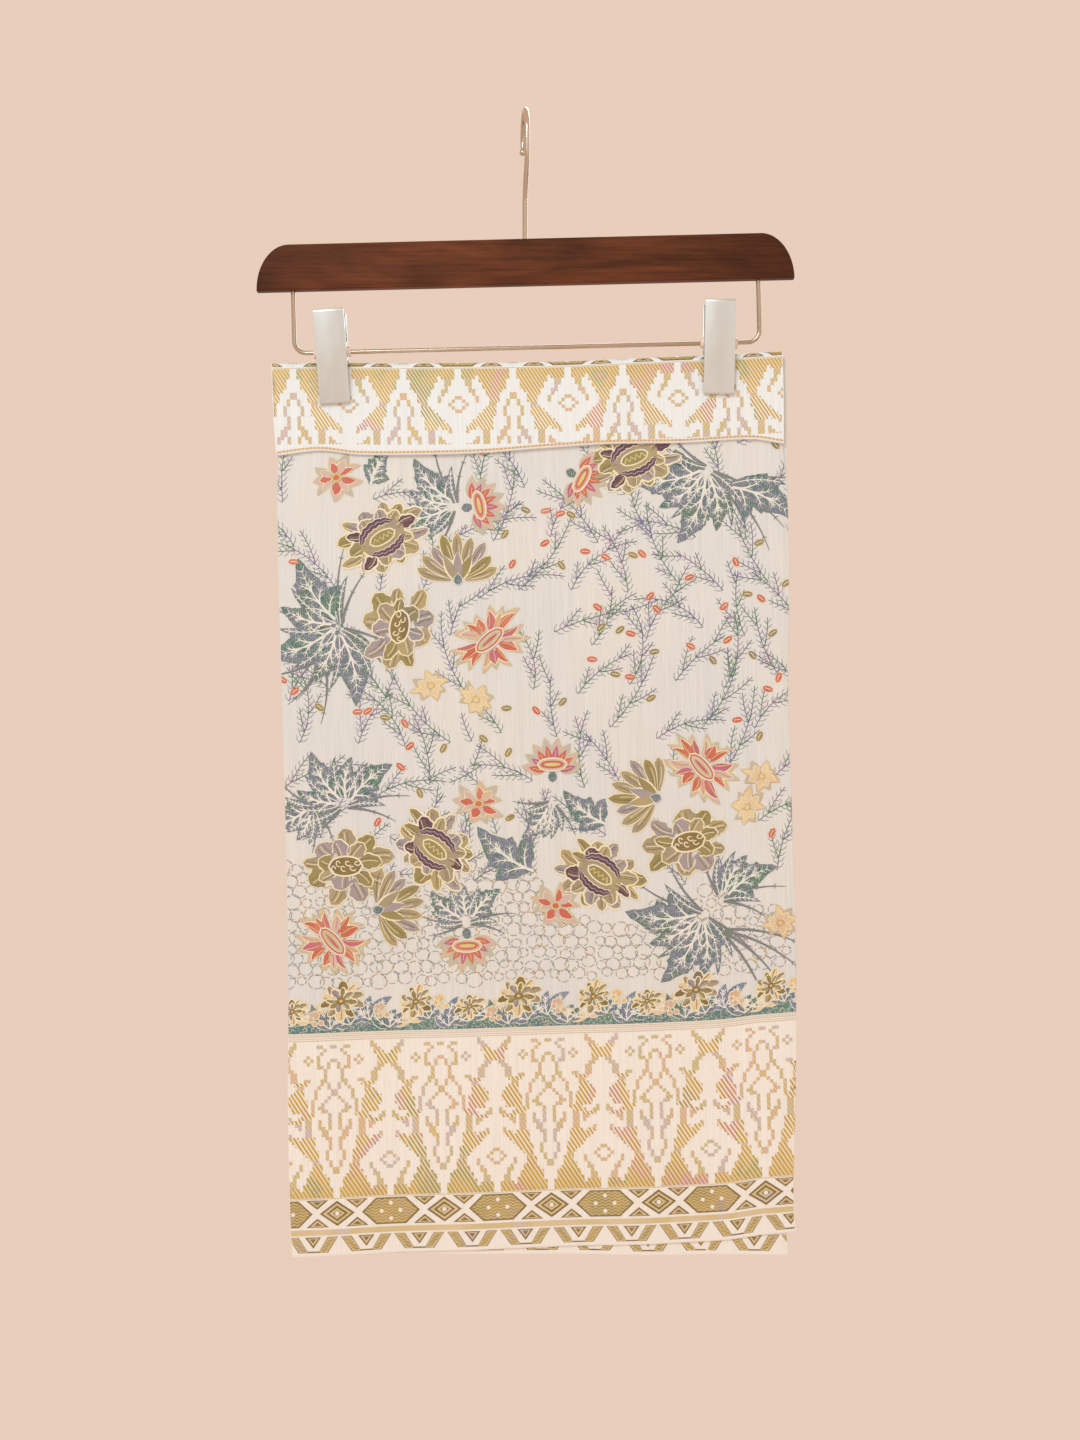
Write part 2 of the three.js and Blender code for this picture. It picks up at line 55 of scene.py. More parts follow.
BAR = dict(length=360, height=30.5, thickness=12, top=-85.3, shoulder=22, bevel=1.2)
BAR["bottom"] = BAR["top"] - BAR["height"]
HOOK = dict(wire=3.4, inner_radius=16, tip_drop=7, tip_radius=2.3, neck_top=-29, neck_bottom=-60, socket=22)
HOOK["turn"] = math.radians(5)
ROD = dict(wire=3, half_span=156, height=-157.5, bend_radius=8, socket=12)
CLIP = dict(
    width=20.4, above=28.8, below=34.2, sheet=1, depth=3, flare=math.radians(6),
    ear_radius=5.5, ear_foot=7, ear_inset=1.4, bush_radius=3.75, bush_length=25,
    spring_wire=1.2, spring_turns=6, spring_pitch=1.35, spring_reach=14,
)
CLIPS = {"left": (-130.7, math.radians(2.5)), "right": (128.7, math.radians(-2.3))}  # place and lean

# Faces of the folded cloth from front to back.
FLAP_FRONT, FLAP_BACK = -4.35, 4.35
FRONT_PANEL, PANEL_WALL = -1.65, 1.0
INNER_FRONT, INNER_WALL, LAYERS = -0.35, 1.9, 4
BACK_PANEL = 1.85
LOOSEN, LOOSEN_BELOW = 1.3, -230  # how far the layers part at the hem, and where that starts
BACK_DROP = 30.0  # how far the waist hangs down behind
# From the rod's middle to the outer face of a plate, whose foot grips the cloth.
CLIP["arm"] = CLIP["depth"] + (
    (FLAP_BACK + GAP + CLIP["below"] * math.sin(CLIP["flare"])) / math.cos(CLIP["flare"])
)

CLOTH_DEPTH = 597.0  # from the top fold down to the selvage
SIDE_REACH = 171.0  # from the middle to a side edge
HEM_HEIGHT = -763.0
FLAP_MIDDLE = -200

# ---------------------------------------------------------------- outlines, as in the solids
TOP_EDGE = [
    (-171, -164.0), (-131, -164.6), (-85, -166.1), (-30, -167.0),
    (26, -167.4), (80, -166.4), (129, -165.6), (171, -164.2),
]
FLAP_HEM = [
    (-170, -226.4), (-141, -223.7), (-116, -227.0), (-70, -228.2), (-30, -227.9),
    (8, -225.8), (52, -224.1), (102, -224.4), (149, -223.1), (170, -226.6),
]
FLAP_BELLY = [
    (-171, 0.8), (-143, 0), (-118, 0), (-62, 1.3), (4, 0.7), (64, 1.4), (116, 0), (141, 0), (171, 1.1),
]
# Each row of a sides table is a height, the left edge and the right edge.
FLAP_SIDES = [(-164, -171.4, 170.9), (-200, -170.8, 170.8), (-227, -169.4, 170.0)]
FRONT_SIDES = [
    (-167, -169.2, 168.8), (-227, -169.0, 169.8), (-260, -170.4, 172.2), (-316, -170.5, 172.0),
    (-400, -170.2, 169.4), (-476, -170.0, 170.1), (-570, -170.5, 170.3), (-663, -172.8, 168.0),
    (-731, -173.2, 164.8), (-763, -172.4, 165.6),
]
FRONT_HEM = [
    (-172, -763.3), (-100, -761.8), (-12, -760.6), (83, -760.0), (119, -759.0), (143, -755.6), (165, -754.2),
]
INNER_SIDES = [
    (-167, -168.2, 173.9), (-227, -167.8, 172.6), (-400, -168.6, 168.0), (-600, -169.4, 163.4),
    (-769, -170.8, 159.5),
]
INNER_HEM = [(-171, -761.0), (-58, -763.6), (20, -766.0), (90, -768.2), (160, -769.2)]
BACK_SIDES = [
    (-167, -168.9, 169.6), (-227, -169.3, 169.9), (-400, -169.8, 167.2), (-600, -171.0, 162.6),
    (-764, -171.6, 158.2),
]
BACK_HEM = [(-171, -761.6), (-60, -760.4), (60, -762.2), (159, -765.0)]
# The soft upright folds: place, half width, depth at the hem, height where each dies out, sideways drift.
FLUTES = [
    (-150, 20, -1.5, -330, 5), (-104, 27, 1.8, -262, 8), (-48, 32, -2.2, -300, -7), (16, 30, 1.5, -240, 6),
    (66, 24, -1.7, -355, -4), (112, 28, 2.1, -278, -9), (156, 18, -2.2, -245, -3),
]


# ---------------------------------------------------------------- numbers from the tables
class Curve:
    """A smooth curve through rows of (key, value), flat beyond its ends."""

    def __init__(self, rows):
        if rows[0][0] > rows[-1][0]:
            rows = rows[::-1]
        self.keys = [row[0] for row in rows]
        values = [row[1] for row in rows]
        last = len(rows) - 1
        self.spans = []
        for i in range(last):
            span = self.keys[i + 1] - self.keys[i]
            before, after = max(i - 1, 0), min(i + 2, last)
            slope_a = (values[i + 1] - values[before]) / (self.keys[i + 1] - self.keys[before]) * span
            slope_b = (values[after] - values[i]) / (self.keys[after] - self.keys[i]) * span
            self.spans.append((span, values[i], slope_a, values[i + 1], slope_b))

    def __call__(self, at):
        i, last = 0, len(self.spans) - 1
        while i < last and at > self.keys[i + 1]:
            i += 1
        span, a, slope_a, b, slope_b = self.spans[i]
        t = min(max((at - self.keys[i]) / span, 0.0), 1.0)
        rest = 1 - t
        return (
            a * (1 + 2 * t) * rest * rest + slope_a * t * rest * rest
            + b * (3 - 2 * t) * t * t - slope_b * t * t * rest
        )


def smoothstep(t):
    t = min(max(t, 0.0), 1.0)
    return t * t * (3 - 2 * t)


def lerp(a, b, t):
    return a + (b - a) * t


def grown_from(height, z):
    """0 at the first height and above, 1 at the hem."""
    return smoothstep((height - z) / (height - HEM_HEIGHT))


def fold_depth(x, z):
    depth = 0.0
    for place, half_width, deep, fade_height, drift in FLUTES:
        grown = grown_from(fade_height, z)
        if grown > 0:
            depth += deep * grown * math.exp(-(((x - place - drift * grown) / half_width) ** 2))
    return depth


def loosened(z):
    return LOOSEN * grown_from(LOOSEN_BELOW, z)


# Soft creases in the outer panels: from (x, z) to (x, z), half width and depth, troughs being positive.
FRONT_CREASES = [
    (-96, -236, -128, -420, 7, 0.35), (-60, -232, -82, -352, 9, -0.3), (118, -232, 134, -390, 8, 0.4),
    (150, -240, 158, -470, 6, -0.35), (30, -231, 22, -330, 10, 0.3), (-164, -300, -158, -560, 6, 0.3),
    (-20, -430, -8, -640, 12, -0.35), (60, -380, 74, -560, 9, 0.3), (88, -600, 96, -752, 7, -0.3),
    (-130, -560, -121, -755, 8, 0.3), (-168, -468, 168, -473, 5, 0.22), (-168, -317, 168, -314, 5, -0.18),
    (-70, -640, -64, -757, 7, 0.35), (140, -560, 150, -750, 8, 0.3), (-166, -618, 164, -612, 5, 0.2),
]
BACK_CREASES = [
    (-110, -205, -138, -380, 8, 0.4), (-40, -201, -52, -330, 10, -0.3), (70, -205, 88, -410, 8, 0.35),
    (146, -220, 152, -480, 6, -0.3), (-150, -400, -144, -700, 8, 0.3), (10, -380, -4, -590, 12, 0.35),
    (110, -520, 118, -750, 8, -0.3), (-60, -600, -54, -752, 7, 0.3), (-168, -470, 165, -475, 5, 0.22),
    (-168, -316, 168, -313, 5, -0.18), (-168, -620, 160, -614, 5, 0.2), (44, -640, 50, -755, 8, 0.3),
]


def creased(creases, x, z):
    """The depth of the creases at a place. Each runs on past its ends and fades out there."""
    past, fade, widths = 0.15, 0.4, 3
    depth = 0.0
    for x0, z0, x1, z1, half_width, deep in creases:
        dx, dz = x1 - x0, z1 - z0
        along = ((x - x0) * dx + (z - z0) * dz) / (dx * dx + dz * dz)
        if -past < along < 1 + past:
            off = ((x - x0) * dz - (z - z0) * dx) / math.hypot(dx, dz) / half_width
            if abs(off) < widths:
                ends = smoothstep((along + past) / fade) * smoothstep((1 + past - along) / fade)
                depth += deep * ends * math.exp(-off * off)
    return depth


# ---------------------------------------------------------------- meshes
HANGING = (
    Matrix.Translation((0, 0, TILT_HEIGHT * MM))
    @ Matrix.Rotation(-HANG_TILT, 4, "Y")
    @ Matrix.Translation((0, 0, -TILT_HEIGHT * MM))
)


def make(name, points, faces, look, slot, replaces=(), uvs=None, place=HANGING, sharp=None):
    """A piece from points in millimetres. uvs has a place on the cloth for each point."""
    mesh = bpy.data.meshes.new(name)
    mesh.from_pydata([(x * MM, y * MM, z * MM) for x, y, z in points], [], faces)
    if uvs:
        layer = mesh.uv_layers.new(name="cloth")
        for loop in mesh.loops:
            layer.data[loop.index].uv = uvs[loop.vertex_index]
    mesh.validate()
    mesh.shade_smooth()
    if sharp:
        mesh.set_sharp_from_angle(angle=math.radians(sharp))
    mesh.materials.append(look)
    piece = bpy.data.objects.new(name, mesh)
    bpy.context.scene.collection.objects.link(piece)
    mesh.transform(place)
    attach(piece, "root")
    if replaces:
        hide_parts(*replaces)
    return piece


def skin(rows, count):
    """Faces between closed rings of count points."""
    faces = []
    for row in range(rows - 1):
        for k in range(count):
            a, b = row * count + k, row * count + (k + 1) % count
            faces.append((a, b, b + count, a + count))
    return faces


def capped(rows, count):
    """The same, with a flat face on each end."""
    last = (rows - 1) * count
    return skin(rows, count) + [tuple(reversed(range(count))), tuple(range(last, last + count))]


def tube(stations, radii, sides):
    """Points and faces of a round wire through stations, with a radius for each."""
    path = [Vector(p) for p in stations]
    points = []
    side = None
    for i, place in enumerate(path):
        ahead = (path[min(i + 1, len(path) - 1)] - path[max(i - 1, 0)]).normalized()
        if side is None:
            side = ahead.orthogonal().normalized()
        side = (side - ahead * side.dot(ahead)).normalized()
        other = ahead.cross(side)
        for k in range(sides):
            angle = 2 * math.pi * k / sides
            points.append(place + (side * math.cos(angle) + other * math.sin(angle)) * radii[i])
    return points, capped(len(path), sides)


def joined(*parts):
    """Several (points, faces) as one."""
    points, faces = [], []
    for more_points, more_faces in parts:
        base = len(points)
        points.extend(more_points)
        faces.extend(tuple(i + base for i in face) for face in more_faces)
    return points, faces


def from_bmesh(mesh):
    mesh.verts.ensure_lookup_table()
    mesh.verts.index_update()
    points = [tuple(v.co) for v in mesh.verts]
    faces = [tuple(v.index for v in face.verts) for face in mesh.faces]
    mesh.free()
    return points, faces


# ---------------------------------------------------------------- looks
def rgb(text):
    """A linear colour from its usual six digits."""
    parts = [int(text[i:i + 2], 16) / 255 for i in (0, 2, 4)]
    return (*[c / 12.92 if c <= 0.04045 else ((c + 0.055) / 1.055) ** 2.4 for c in parts], 1.0)


class Look:
    """A material under construction."""

    def __init__(self, name, **sockets):
        self.material = bpy.data.materials.new(name)
        self.material.use_nodes = True
        self.tree = self.material.node_tree
        self.shader = self.tree.nodes["Principled BSDF"]
        self.set(self.shader, **sockets)

    def feed(self, socket, value):
        """Link or set a socket. A colour may be given by its six digits."""
        if isinstance(value, bpy.types.NodeSocket):
            self.tree.links.new(value, socket)
        else:
            socket.default_value = rgb(value) if isinstance(value, str) else value

    def set(self, node, **sockets):
        for name, value in sockets.items():
            self.feed(node.inputs[name.replace("_", " ")], value)

    def node(self, kind, settings=None, **sockets):
        node = self.tree.nodes.new("ShaderNode" + kind)
        for name, value in (settings or {}).items():
            setattr(node, name, value)
        self.set(node, **sockets)
        return node

    def uv(self):
        return self.node("TexCoord").outputs["UV"]

    def place(self):
        return self.node("TexCoord").outputs["Object"]

    def scaled(self, vector, scale, turn=0.0):
        return self.node("Mapping", Vector=vector, Scale=scale, Rotation=(0, 0, turn)).outputs["Vector"]

    def part(self, vector, axis):
        return self.node("SeparateXYZ", Vector=vector).outputs[axis]

    def noise(self, vector, scale, detail=3.0, roughness=0.5, distortion=0.0):
        """Noise with a scale for each direction."""
        vector = self.scaled(vector, scale)
        made = self.node("TexNoise", Vector=vector, Scale=1.0, Detail=detail, Roughness=roughness)
        self.set(made, Distortion=distortion)
        return made.outputs["Fac"]

    def math(self, operation, a, b=0.0, c=None):
        node = self.node("Math", {"operation": operation})
        for i, value in enumerate([a, b, c]):
            if value is not None:
                self.feed(node.inputs[i], value)
        return node.outputs[0]

    def wave(self, along):
        """From 0 to 1 and back over each unit of along."""
        swing = self.math("SINE", self.math("MULTIPLY", along, 2 * math.pi))
        return self.math("MULTIPLY_ADD", swing, 0.5, 0.5)

    def ramp(self, factor, *stops):
        """stops are (place, grey or the six digits of a colour)."""
        node = self.node("ValToRGB", Fac=factor)
        elements = node.color_ramp.elements
        while len(elements) < len(stops):
            elements.new(0.5)
        for element, (place, tone) in zip(elements, stops):
            element.position = place
            element.color = rgb(tone) if isinstance(tone, str) else (tone, tone, tone, 1)
        return node.outputs["Color"]

    def mix(self, factor, a, b, blend="MIX"):
        node = self.node("Mix", {"data_type": "RGBA", "blend_type": blend})
        for i, value in ((0, factor), (6, a), (7, b)):
            self.feed(node.inputs[i], value)
        return node.outputs[2]

    def bump(self, height, strength, distance):
        made = self.node("Bump", Height=height, Strength=strength, Distance=distance)
        self.set(self.shader, Normal=made.outputs["Normal"])


def wood():
    look = Look("bar_wood", Roughness=0.55, Specular_IOR_Level=0.12)
    place = look.place()
    patches = look.noise(place, (9, 9, 34), 4.0, 0.55, 0.6)
    grain = look.noise(place, (14, 160, 420), 5.0, 0.62, 0.3)
    pores = look.noise(place, (60, 500, 1500), 2.0)
    base = look.ramp(patches, (0.28, "3f2011"), (0.44, "5a311b"), (0.58, "6d3b21"), (0.72, "83492c"))
    dark = look.ramp(grain, (0.3, 0.45), (0.52, 1.0), (0.75, 1.25))
    colour = look.mix(0.75, base, dark, "MULTIPLY")
    flecks = look.ramp(pores, (0.34, 0.5), (0.42, 1.0))
    # Darker towards the bar's ends, set by the distance along the bar.
    along = look.math("ABSOLUTE", look.part(place, "X"))
    darker_ends = look.ramp(look.math("MULTIPLY_ADD", patches, 0.03, along), (0.12, 1.0), (0.2, 0.5))
    colour = look.mix(1.0, colour, darker_ends, "MULTIPLY")
    look.set(look.shader, Base_Color=look.mix(0.5, colour, flecks, "MULTIPLY"))
    look.bump(grain, 0.25, 0.0004)
    return look.material


def metal(name, colour, other, roughness, brushed):
    """Satin or polished metal, with soft marks along brushed (the scale of the noise in each direction)."""
    look = Look(name, Metallic=1.0)
    place = look.place()
    tone = look.noise(place, (9, 9, 9), 2.0)
    marks = look.noise(place, brushed, 3.0, 0.6)
    look.set(look.shader, Base_Color=look.ramp(tone, (0.3, colour), (0.7, other)))
    rough = look.ramp(marks, (0.3, roughness * 0.9), (0.7, roughness * 1.1))
    look.set(look.shader, Roughness=rough)
    look.bump(marks, 0.02, 0.0001)
    return look.material


def plastic():
    look = Look("bush_plastic", Roughness=0.42, Subsurface_Weight=0.15, Subsurface_Scale=0.003)
    cloudy = look.noise(look.place(), (90, 90, 90))
    look.set(look.shader, Base_Color=look.ramp(cloudy, (0.3, "f1dacb"), (0.7, "faebe0")))
    look.bump(look.noise(look.place(), (700, 700, 700)), 0.08, 0.0002)
    return look.material


def ground(name, border_tones):
    """The ivory satin ground of the cloth, whiter in the border, with upright streaks and a fine weave."""
    plain, low, high = border_tones
    look = Look(name, Roughness=0.5, Sheen_Weight=0.25, Sheen_Roughness=0.4, Specular_IOR_Level=0.35)
    uv = look.uv()
    streaks = look.noise(uv, (0.11, 0.004, 1), 4.0, 0.6)
    fine = look.noise(uv, (1.1, 0.02, 1), 3.0, 0.6)
    clouds = look.noise(uv, (0.012, 0.009, 1))
    field = look.ramp(streaks, (0.3, "d2d7d8"), (0.45, "dfe2df"), (0.6, "e2e4e2"), (0.72, "d5d9e1"))
    field = look.mix(0.5, field, look.ramp(clouds, (0.35, "e8e5dd"), (0.65, "dadde3")))
    field = look.mix(0.35, field, look.ramp(fine, (0.35, "d0d0cd"), (0.65, "ecedec")))
    border = look.mix(0.4, plain, look.ramp(fine, (0.35, low), (0.65, high)))
    share = look.ramp(look.math("DIVIDE", look.part(uv, "Y"), 1000.0), (0.145, 0.0), (0.152, 1.0))
    look.set(look.shader, Base_Color=look.mix(share, border, field))
    weave = look.node("TexWave", {"bands_direction": "DIAGONAL"}, Vector=uv, Scale=0.45)
    look.bump(look.mix(0.5, weave.outputs["Fac"], fine), 0.12, 0.00015)
    return look.material


# ---------------------------------------------------------------- the hanger
def bar_piece(look):
    """The long bar: a sharp lower tip at each end, a quarter ellipse above it, all its edges eased."""
    straight = BAR["length"] / 2 - BAR["shoulder"]
    corner_steps, edge_steps = 20, 4
    outline = []
    for side in (1, -1):
        for i in range(corner_steps + 1):
            angle = math.pi / 2 * (i if side > 0 else corner_steps - i) / corner_steps
            x = side * (straight + BAR["shoulder"] * math.cos(angle))
            outline.append(Vector((x, BAR["bottom"] + BAR["height"] * math.sin(angle))))
    count = len(outline)
    middle = Vector((0, BAR["bottom"] + BAR["height"] / 2))

    def inward(i):
        before, here, after = outline[i - 1], outline[i], outline[(i + 1) % count]
        a, b = (here - before).normalized(), (after - here).normalized()
        normal_a, normal_b = Vector((-a.y, a.x)), Vector((-b.y, b.x))
        way = (normal_a + normal_b).normalized()
        way = way if way.dot(middle - here) > 0 else -way
        return way / max(abs(way.dot(normal_a)), 0.35)

    ways = [inward(i) for i in range(count)]
    points = []
    half = BAR["thickness"] / 2
    levels = [(-1, i) for i in range(edge_steps + 1)] + [(1, edge_steps - i) for i in range(edge_steps + 1)]
    for side, i in levels:
        angle = math.pi / 2 * i / edge_steps
        inset = BAR["bevel"] * (1 - math.sin(angle))
        y = side * (half - BAR["bevel"] * (1 - math.cos(angle)))
        for k, p in enumerate(outline):
            q = p + ways[k] * inset
            points.append((q.x, y, q.y))
    make("bar", points, capped(len(levels), count), look, "bar_wood", ["hanger_bar"], sharp=50)


def hook_piece(look):
    """A foot in the bar, a neck that leans out to the front, the arc over the rail and a ball at its tip."""
    radius = HOOK["inner_radius"] + HOOK["wire"] / 2
    centre = -HOOK["inner_radius"]
    stations = [(0, 0, BAR["top"] - HOOK["socket"] + GAP), (0, 0, HOOK["neck_bottom"])]
    neck_steps, arc_steps, tip_steps = 16, 48, 10
    for i in range(1, neck_steps):
        t = i / neck_steps
        stations.append((0, -radius * smoothstep(t), lerp(HOOK["neck_bottom"], HOOK["neck_top"], t)))
    stations.append((0, -radius, HOOK["neck_top"]))
    for i in range(arc_steps + 1):
        angle = math.pi * (1 - i / arc_steps)
        stations.append((0, radius * math.cos(angle), centre + radius * math.sin(angle)))
    radii = [HOOK["wire"] / 2] * len(stations)
    ball = HOOK["tip_radius"]
    tip = centre - HOOK["tip_drop"]
    for i in range(tip_steps + 1):
        angle = lerp(math.acos(HOOK["wire"] / 2 / ball), math.pi - 0.05, i / tip_steps)
        stations.append((0, radius, tip + ball * math.cos(angle)))
        radii.append(max(ball * math.sin(angle), 0.1))
    turned = Matrix.Rotation(HOOK["turn"], 4, "Z")
    make("hook_wire", *tube(stations, radii, 24), look, "wire_nickel", ["hook"], place=turned, sharp=60)


def rod_piece(look):
    """A straight rod whose bent ends run up into the bar."""
    leg_top = BAR["bottom"] + ROD["socket"] - GAP
    bend, steps = ROD["bend_radius"], 12
    stations = [(-ROD["half_span"], 0, leg_top)]
    for side in (-1, 1):
        for i in range(steps + 1):
            angle = math.pi / 2 * (i if side < 0 else steps - i) / steps
            x = side * (ROD["half_span"] - bend + bend * math.cos(angle))
            stations.append((x, 0, ROD["height"] + bend - bend * math.sin(angle)))
    stations.append((ROD["half_span"], 0, leg_top))
    radii = [ROD["wire"] / 2] * len(stations)
    make("rod_wire", *tube(stations, radii, 20), look, "wire_nickel", ["clip_rod"], sharp=60)


def tray():
    """A clip's plate: a shallow pressed tray, its outer face at y = 0 with a chamfer at each end."""
    half, depth, sheet = CLIP["width"] / 2, CLIP["depth"], CLIP["sheet"]
    top_chamfer, bottom_chamfer, slope = 1.5, 1.0, 0.7
    profile = [
        (0, -CLIP["below"] + bottom_chamfer), (0, CLIP["above"] - top_chamfer), (slope, CLIP["above"]),
        (depth, CLIP["above"]), (depth, -CLIP["below"]), (slope * 0.8, -CLIP["below"]),
    ]
    mesh = bmesh.new()
    ends = [[mesh.verts.new((x, y, z)) for y, z in profile] for x in (-half, half)]
    mesh.faces.new(ends[0])
    mesh.faces.new(ends[1][::-1])
    count = len(profile)
    open_face = None
    for i in range(count):
        k = (i + 1) % count
        face = mesh.faces.new((ends[0][i], ends[1][i], ends[1][k], ends[0][k]))
        if profile[i][0] == depth and profile[k][0] == depth:
            open_face = face
    bmesh.ops.recalc_face_normals(mesh, faces=mesh.faces)
    bmesh.ops.inset_region(mesh, faces=[open_face], thickness=sheet)
    floor = bmesh.ops.extrude_face_region(mesh, geom=[open_face])
    moved = [v for v in floor["geom"] if isinstance(v, bmesh.types.BMVert)]
    bmesh.ops.translate(mesh, verts=moved, vec=(0, -(depth - sheet), 0))
    bmesh.ops.delete(mesh, geom=[open_face], context="FACES_ONLY")
    edges = [e for e in mesh.edges if len(e.link_faces) == 2 and e.calc_face_angle() > 0.3]
    bmesh.ops.bevel(mesh, geom=edges, offset=0.22, segments=2, affect="EDGES", profile=0.5)
    return from_bmesh(mesh)


def ear(x):
    """A cheek that joins a plate to the rod, with a hole for the bush, its near face at x."""
    steps = 48
    hole = CLIP["bush_radius"] + GAP
    arm = CLIP["arm"]
    to_root = arm - CLIP["sheet"] / 2
    slope = (CLIP["ear_foot"] - CLIP["ear_radius"]) / to_root

    def rim(way):
        """How far the cheek reaches from the rod's middle: round above, widening to its root."""
        if way.x >= 0:
            return CLIP["ear_radius"]
        widening = abs(way.y) + slope * way.x
        side = CLIP["ear_radius"] / widening if widening > 0 else math.inf
        return min(side, to_root / -way.x)

    rings = [[], []]
    for i in range(steps):
        angle = 2 * math.pi * i / steps
        way = Vector((math.cos(angle), math.sin(angle)))
        for ring, reach in zip(rings, (hole, rim(way))):
            ring.append((arm + way.x * reach, way.y * reach))
    points = [(x + offset, y, z) for offset in (0, CLIP["sheet"]) for ring in rings for y, z in ring]
    faces = []
    for i in range(steps):
        k = (i + 1) % steps
        near = (i, k, steps + k, steps + i)
        far = tuple(n + 2 * steps for n in near)
        faces += [near, far[::-1], (near[0], far[0], far[1], near[1]), (near[3], near[2], far[2], far[3])]
    return points, faces


def clip_pieces(side, satin, nickel, cream):
    x, lean = CLIPS[side]
    assembly = (
        HANGING
        @ Matrix.Translation((x * MM, 0, ROD["height"] * MM))
        @ Matrix.Rotation(-lean, 4, "Y")
    )
    half = CLIP["width"] / 2
    for face, turn, ear_outer in (("front", 0, half), ("back", math.pi, half - CLIP["ear_inset"])):
        plate = joined(tray(), ear(-ear_outer), ear(ear_outer - CLIP["sheet"]))
        place = assembly @ Matrix.Rotation(turn, 4, "Z") @ Matrix.Rotation(CLIP["flare"], 4, "X")
        place = place @ Matrix.Translation((0, -CLIP["arm"] * MM, 0))
        node = f"clip_{side}_{face}_plate"
        make(f"plate_{side}_{face}", *plate, satin, "clip_nickel", [node], place=place, sharp=40)

    inner = CLIP["bush_radius"] + GAP
    wire = CLIP["spring_wire"]
    width = CLIP["spring_turns"] * CLIP["spring_pitch"]
    coil = inner + wire / 2
    plate_floor = CLIP["arm"] - CLIP["sheet"] - GAP - wire / 2
    reach_out = plate_floor + CLIP["spring_reach"] * math.sin(CLIP["flare"])
    span = (width - wire) / 2
    stations = [(-span, -reach_out, CLIP["spring_reach"]), (-span, -coil * 1.02, 0.4)]
    turn_steps = 20
    whole = CLIP["spring_turns"] - 1
    total = int(turn_steps * (whole + 0.5))
    for i in range(1, total):
        angle = math.pi + 2 * math.pi * i / turn_steps
        stations.append((lerp(-span, span, i / total), coil * math.cos(angle), coil * math.sin(angle)))
    stations += [(span, coil * 1.02, 0.4), (span, reach_out, CLIP["spring_reach"])]
    coiled = tube(stations, [wire / 2] * len(stations), 10)
    node = f"clip_{side}_spring"
    make(f"spring_{side}", *coiled, nickel, "wire_nickel", [node], place=assembly, sharp=60)

    half_bush = CLIP["bush_length"] / 2
    bore = ROD["wire"] / 2 + half_bush * math.sin(CLIPS["left"][1]) + GAP
    outer, ease = CLIP["bush_radius"], 0.4
    profile = [
        (bore, -half_bush + ease), (bore + ease, -half_bush), (outer - ease, -half_bush),
        (outer, -half_bush + ease), (outer, half_bush - ease), (outer - ease, half_bush),
        (bore + ease, half_bush), (bore, half_bush - ease),
    ]
    steps = 36
    points = []
    for i in range(steps):
        angle = 2 * math.pi * i / steps
        points.extend((along, r * math.cos(angle), r * math.sin(angle)) for r, along in profile)
    faces = [tuple(v % len(points) for v in face) for face in skin(steps + 1, len(profile))]
    node = f"clip_{side}_bush"
    make(f"bush_{side}", points, faces, cream, "bush_plastic", [node], place=assembly, sharp=50)


# ---------------------------------------------------------------- the cloth's faces
class Face:
    """A face of the cloth, whose lay() gives the point for a place and how far out from the cloth it lies."""

    MARGIN = 0.5  # between a thread and the cloth's side edge

    def __init__(self, sides, hem):
        self.left = Curve([(z, left) for z, left, right in sides])
        self.right = Curve([(z, right) for z, left, right in sides])
        self.hem = Curve(hem)

    def within(self, u, z):
        return min(max(u, self.left(z) + self.MARGIN), self.right(z) - self.MARGIN)

    def facet(self, b):
        """The longest edge that a thread may have at b."""
        return 4.0


class Panel(Face):
    """The face of an upright layer."""

    def __init__(self, sides, hem, depth_at, facing):
        super().__init__(sides, hem)
        self.depth_at = depth_at
        self.facing = facing  # -1 shows its face to the front

    def height(self, x, b):
        hem = self.hem(x)
        return hem + (top_edge(x) - hem) * b / CLOTH_DEPTH

    def lay(self, u, b, out=0.0):
        z = self.height(u, max(b, 0.0))
        x = self.within(u, z)
        return (x, self.depth_at(x, z) + self.facing * out, z)


class Flap(Face):
    """The outer face of the waist. b grows from 0 at its edge behind, over the top, to the lower fold."""

    LAP = 32.0  # b at the top of the fold
    HEM_TURN = 0.9  # between the lowest place of the face and the foot of the fold

    def __init__(self):
        super().__init__(FLAP_SIDES, FLAP_HEM)
        self.belly = Curve(FLAP_BELLY)
        self.radius = (FLAP_BACK - FLAP_FRONT) / 2
        self.arc = self.radius * math.pi / 2

    def lay(self, u, b, out=0.0):
        top = top_edge(u)
        s = b - self.LAP
        if s < 0:
            s *= (BACK_DROP + self.arc - self.radius) / self.LAP
        if abs(s) < self.arc:
            angle = s / self.radius
            y = -(self.radius + out) * math.sin(angle)
            z = top - self.radius + (self.radius + out) * math.cos(angle)
        elif s > 0:
            z = top - self.radius - (s - self.arc)
            y = self.front(u, z, top) - out
        else:
            z = top - self.radius + (s + self.arc)
            y = FLAP_BACK + out
        return (self.within(u, z), y, z)

    def front(self, u, z, top):
        hem = self.hem(u)
        down = (top - self.radius - z) / (top - self.radius - hem)
        down = min(max(down, 0.0), 1.0)
        return FLAP_FRONT - self.belly(u) * down * down + creased(FLAP_CREASES, u, z)

    def lowest(self, u):
        """b where the lower fold starts to turn in."""
        return self.LAP + self.arc + top_edge(u) - self.radius - self.hem(u) - self.HEM_TURN

    def facet(self, b):
        return 1.2 if abs(b - self.LAP) < self.arc + 1 else super().facet(b)


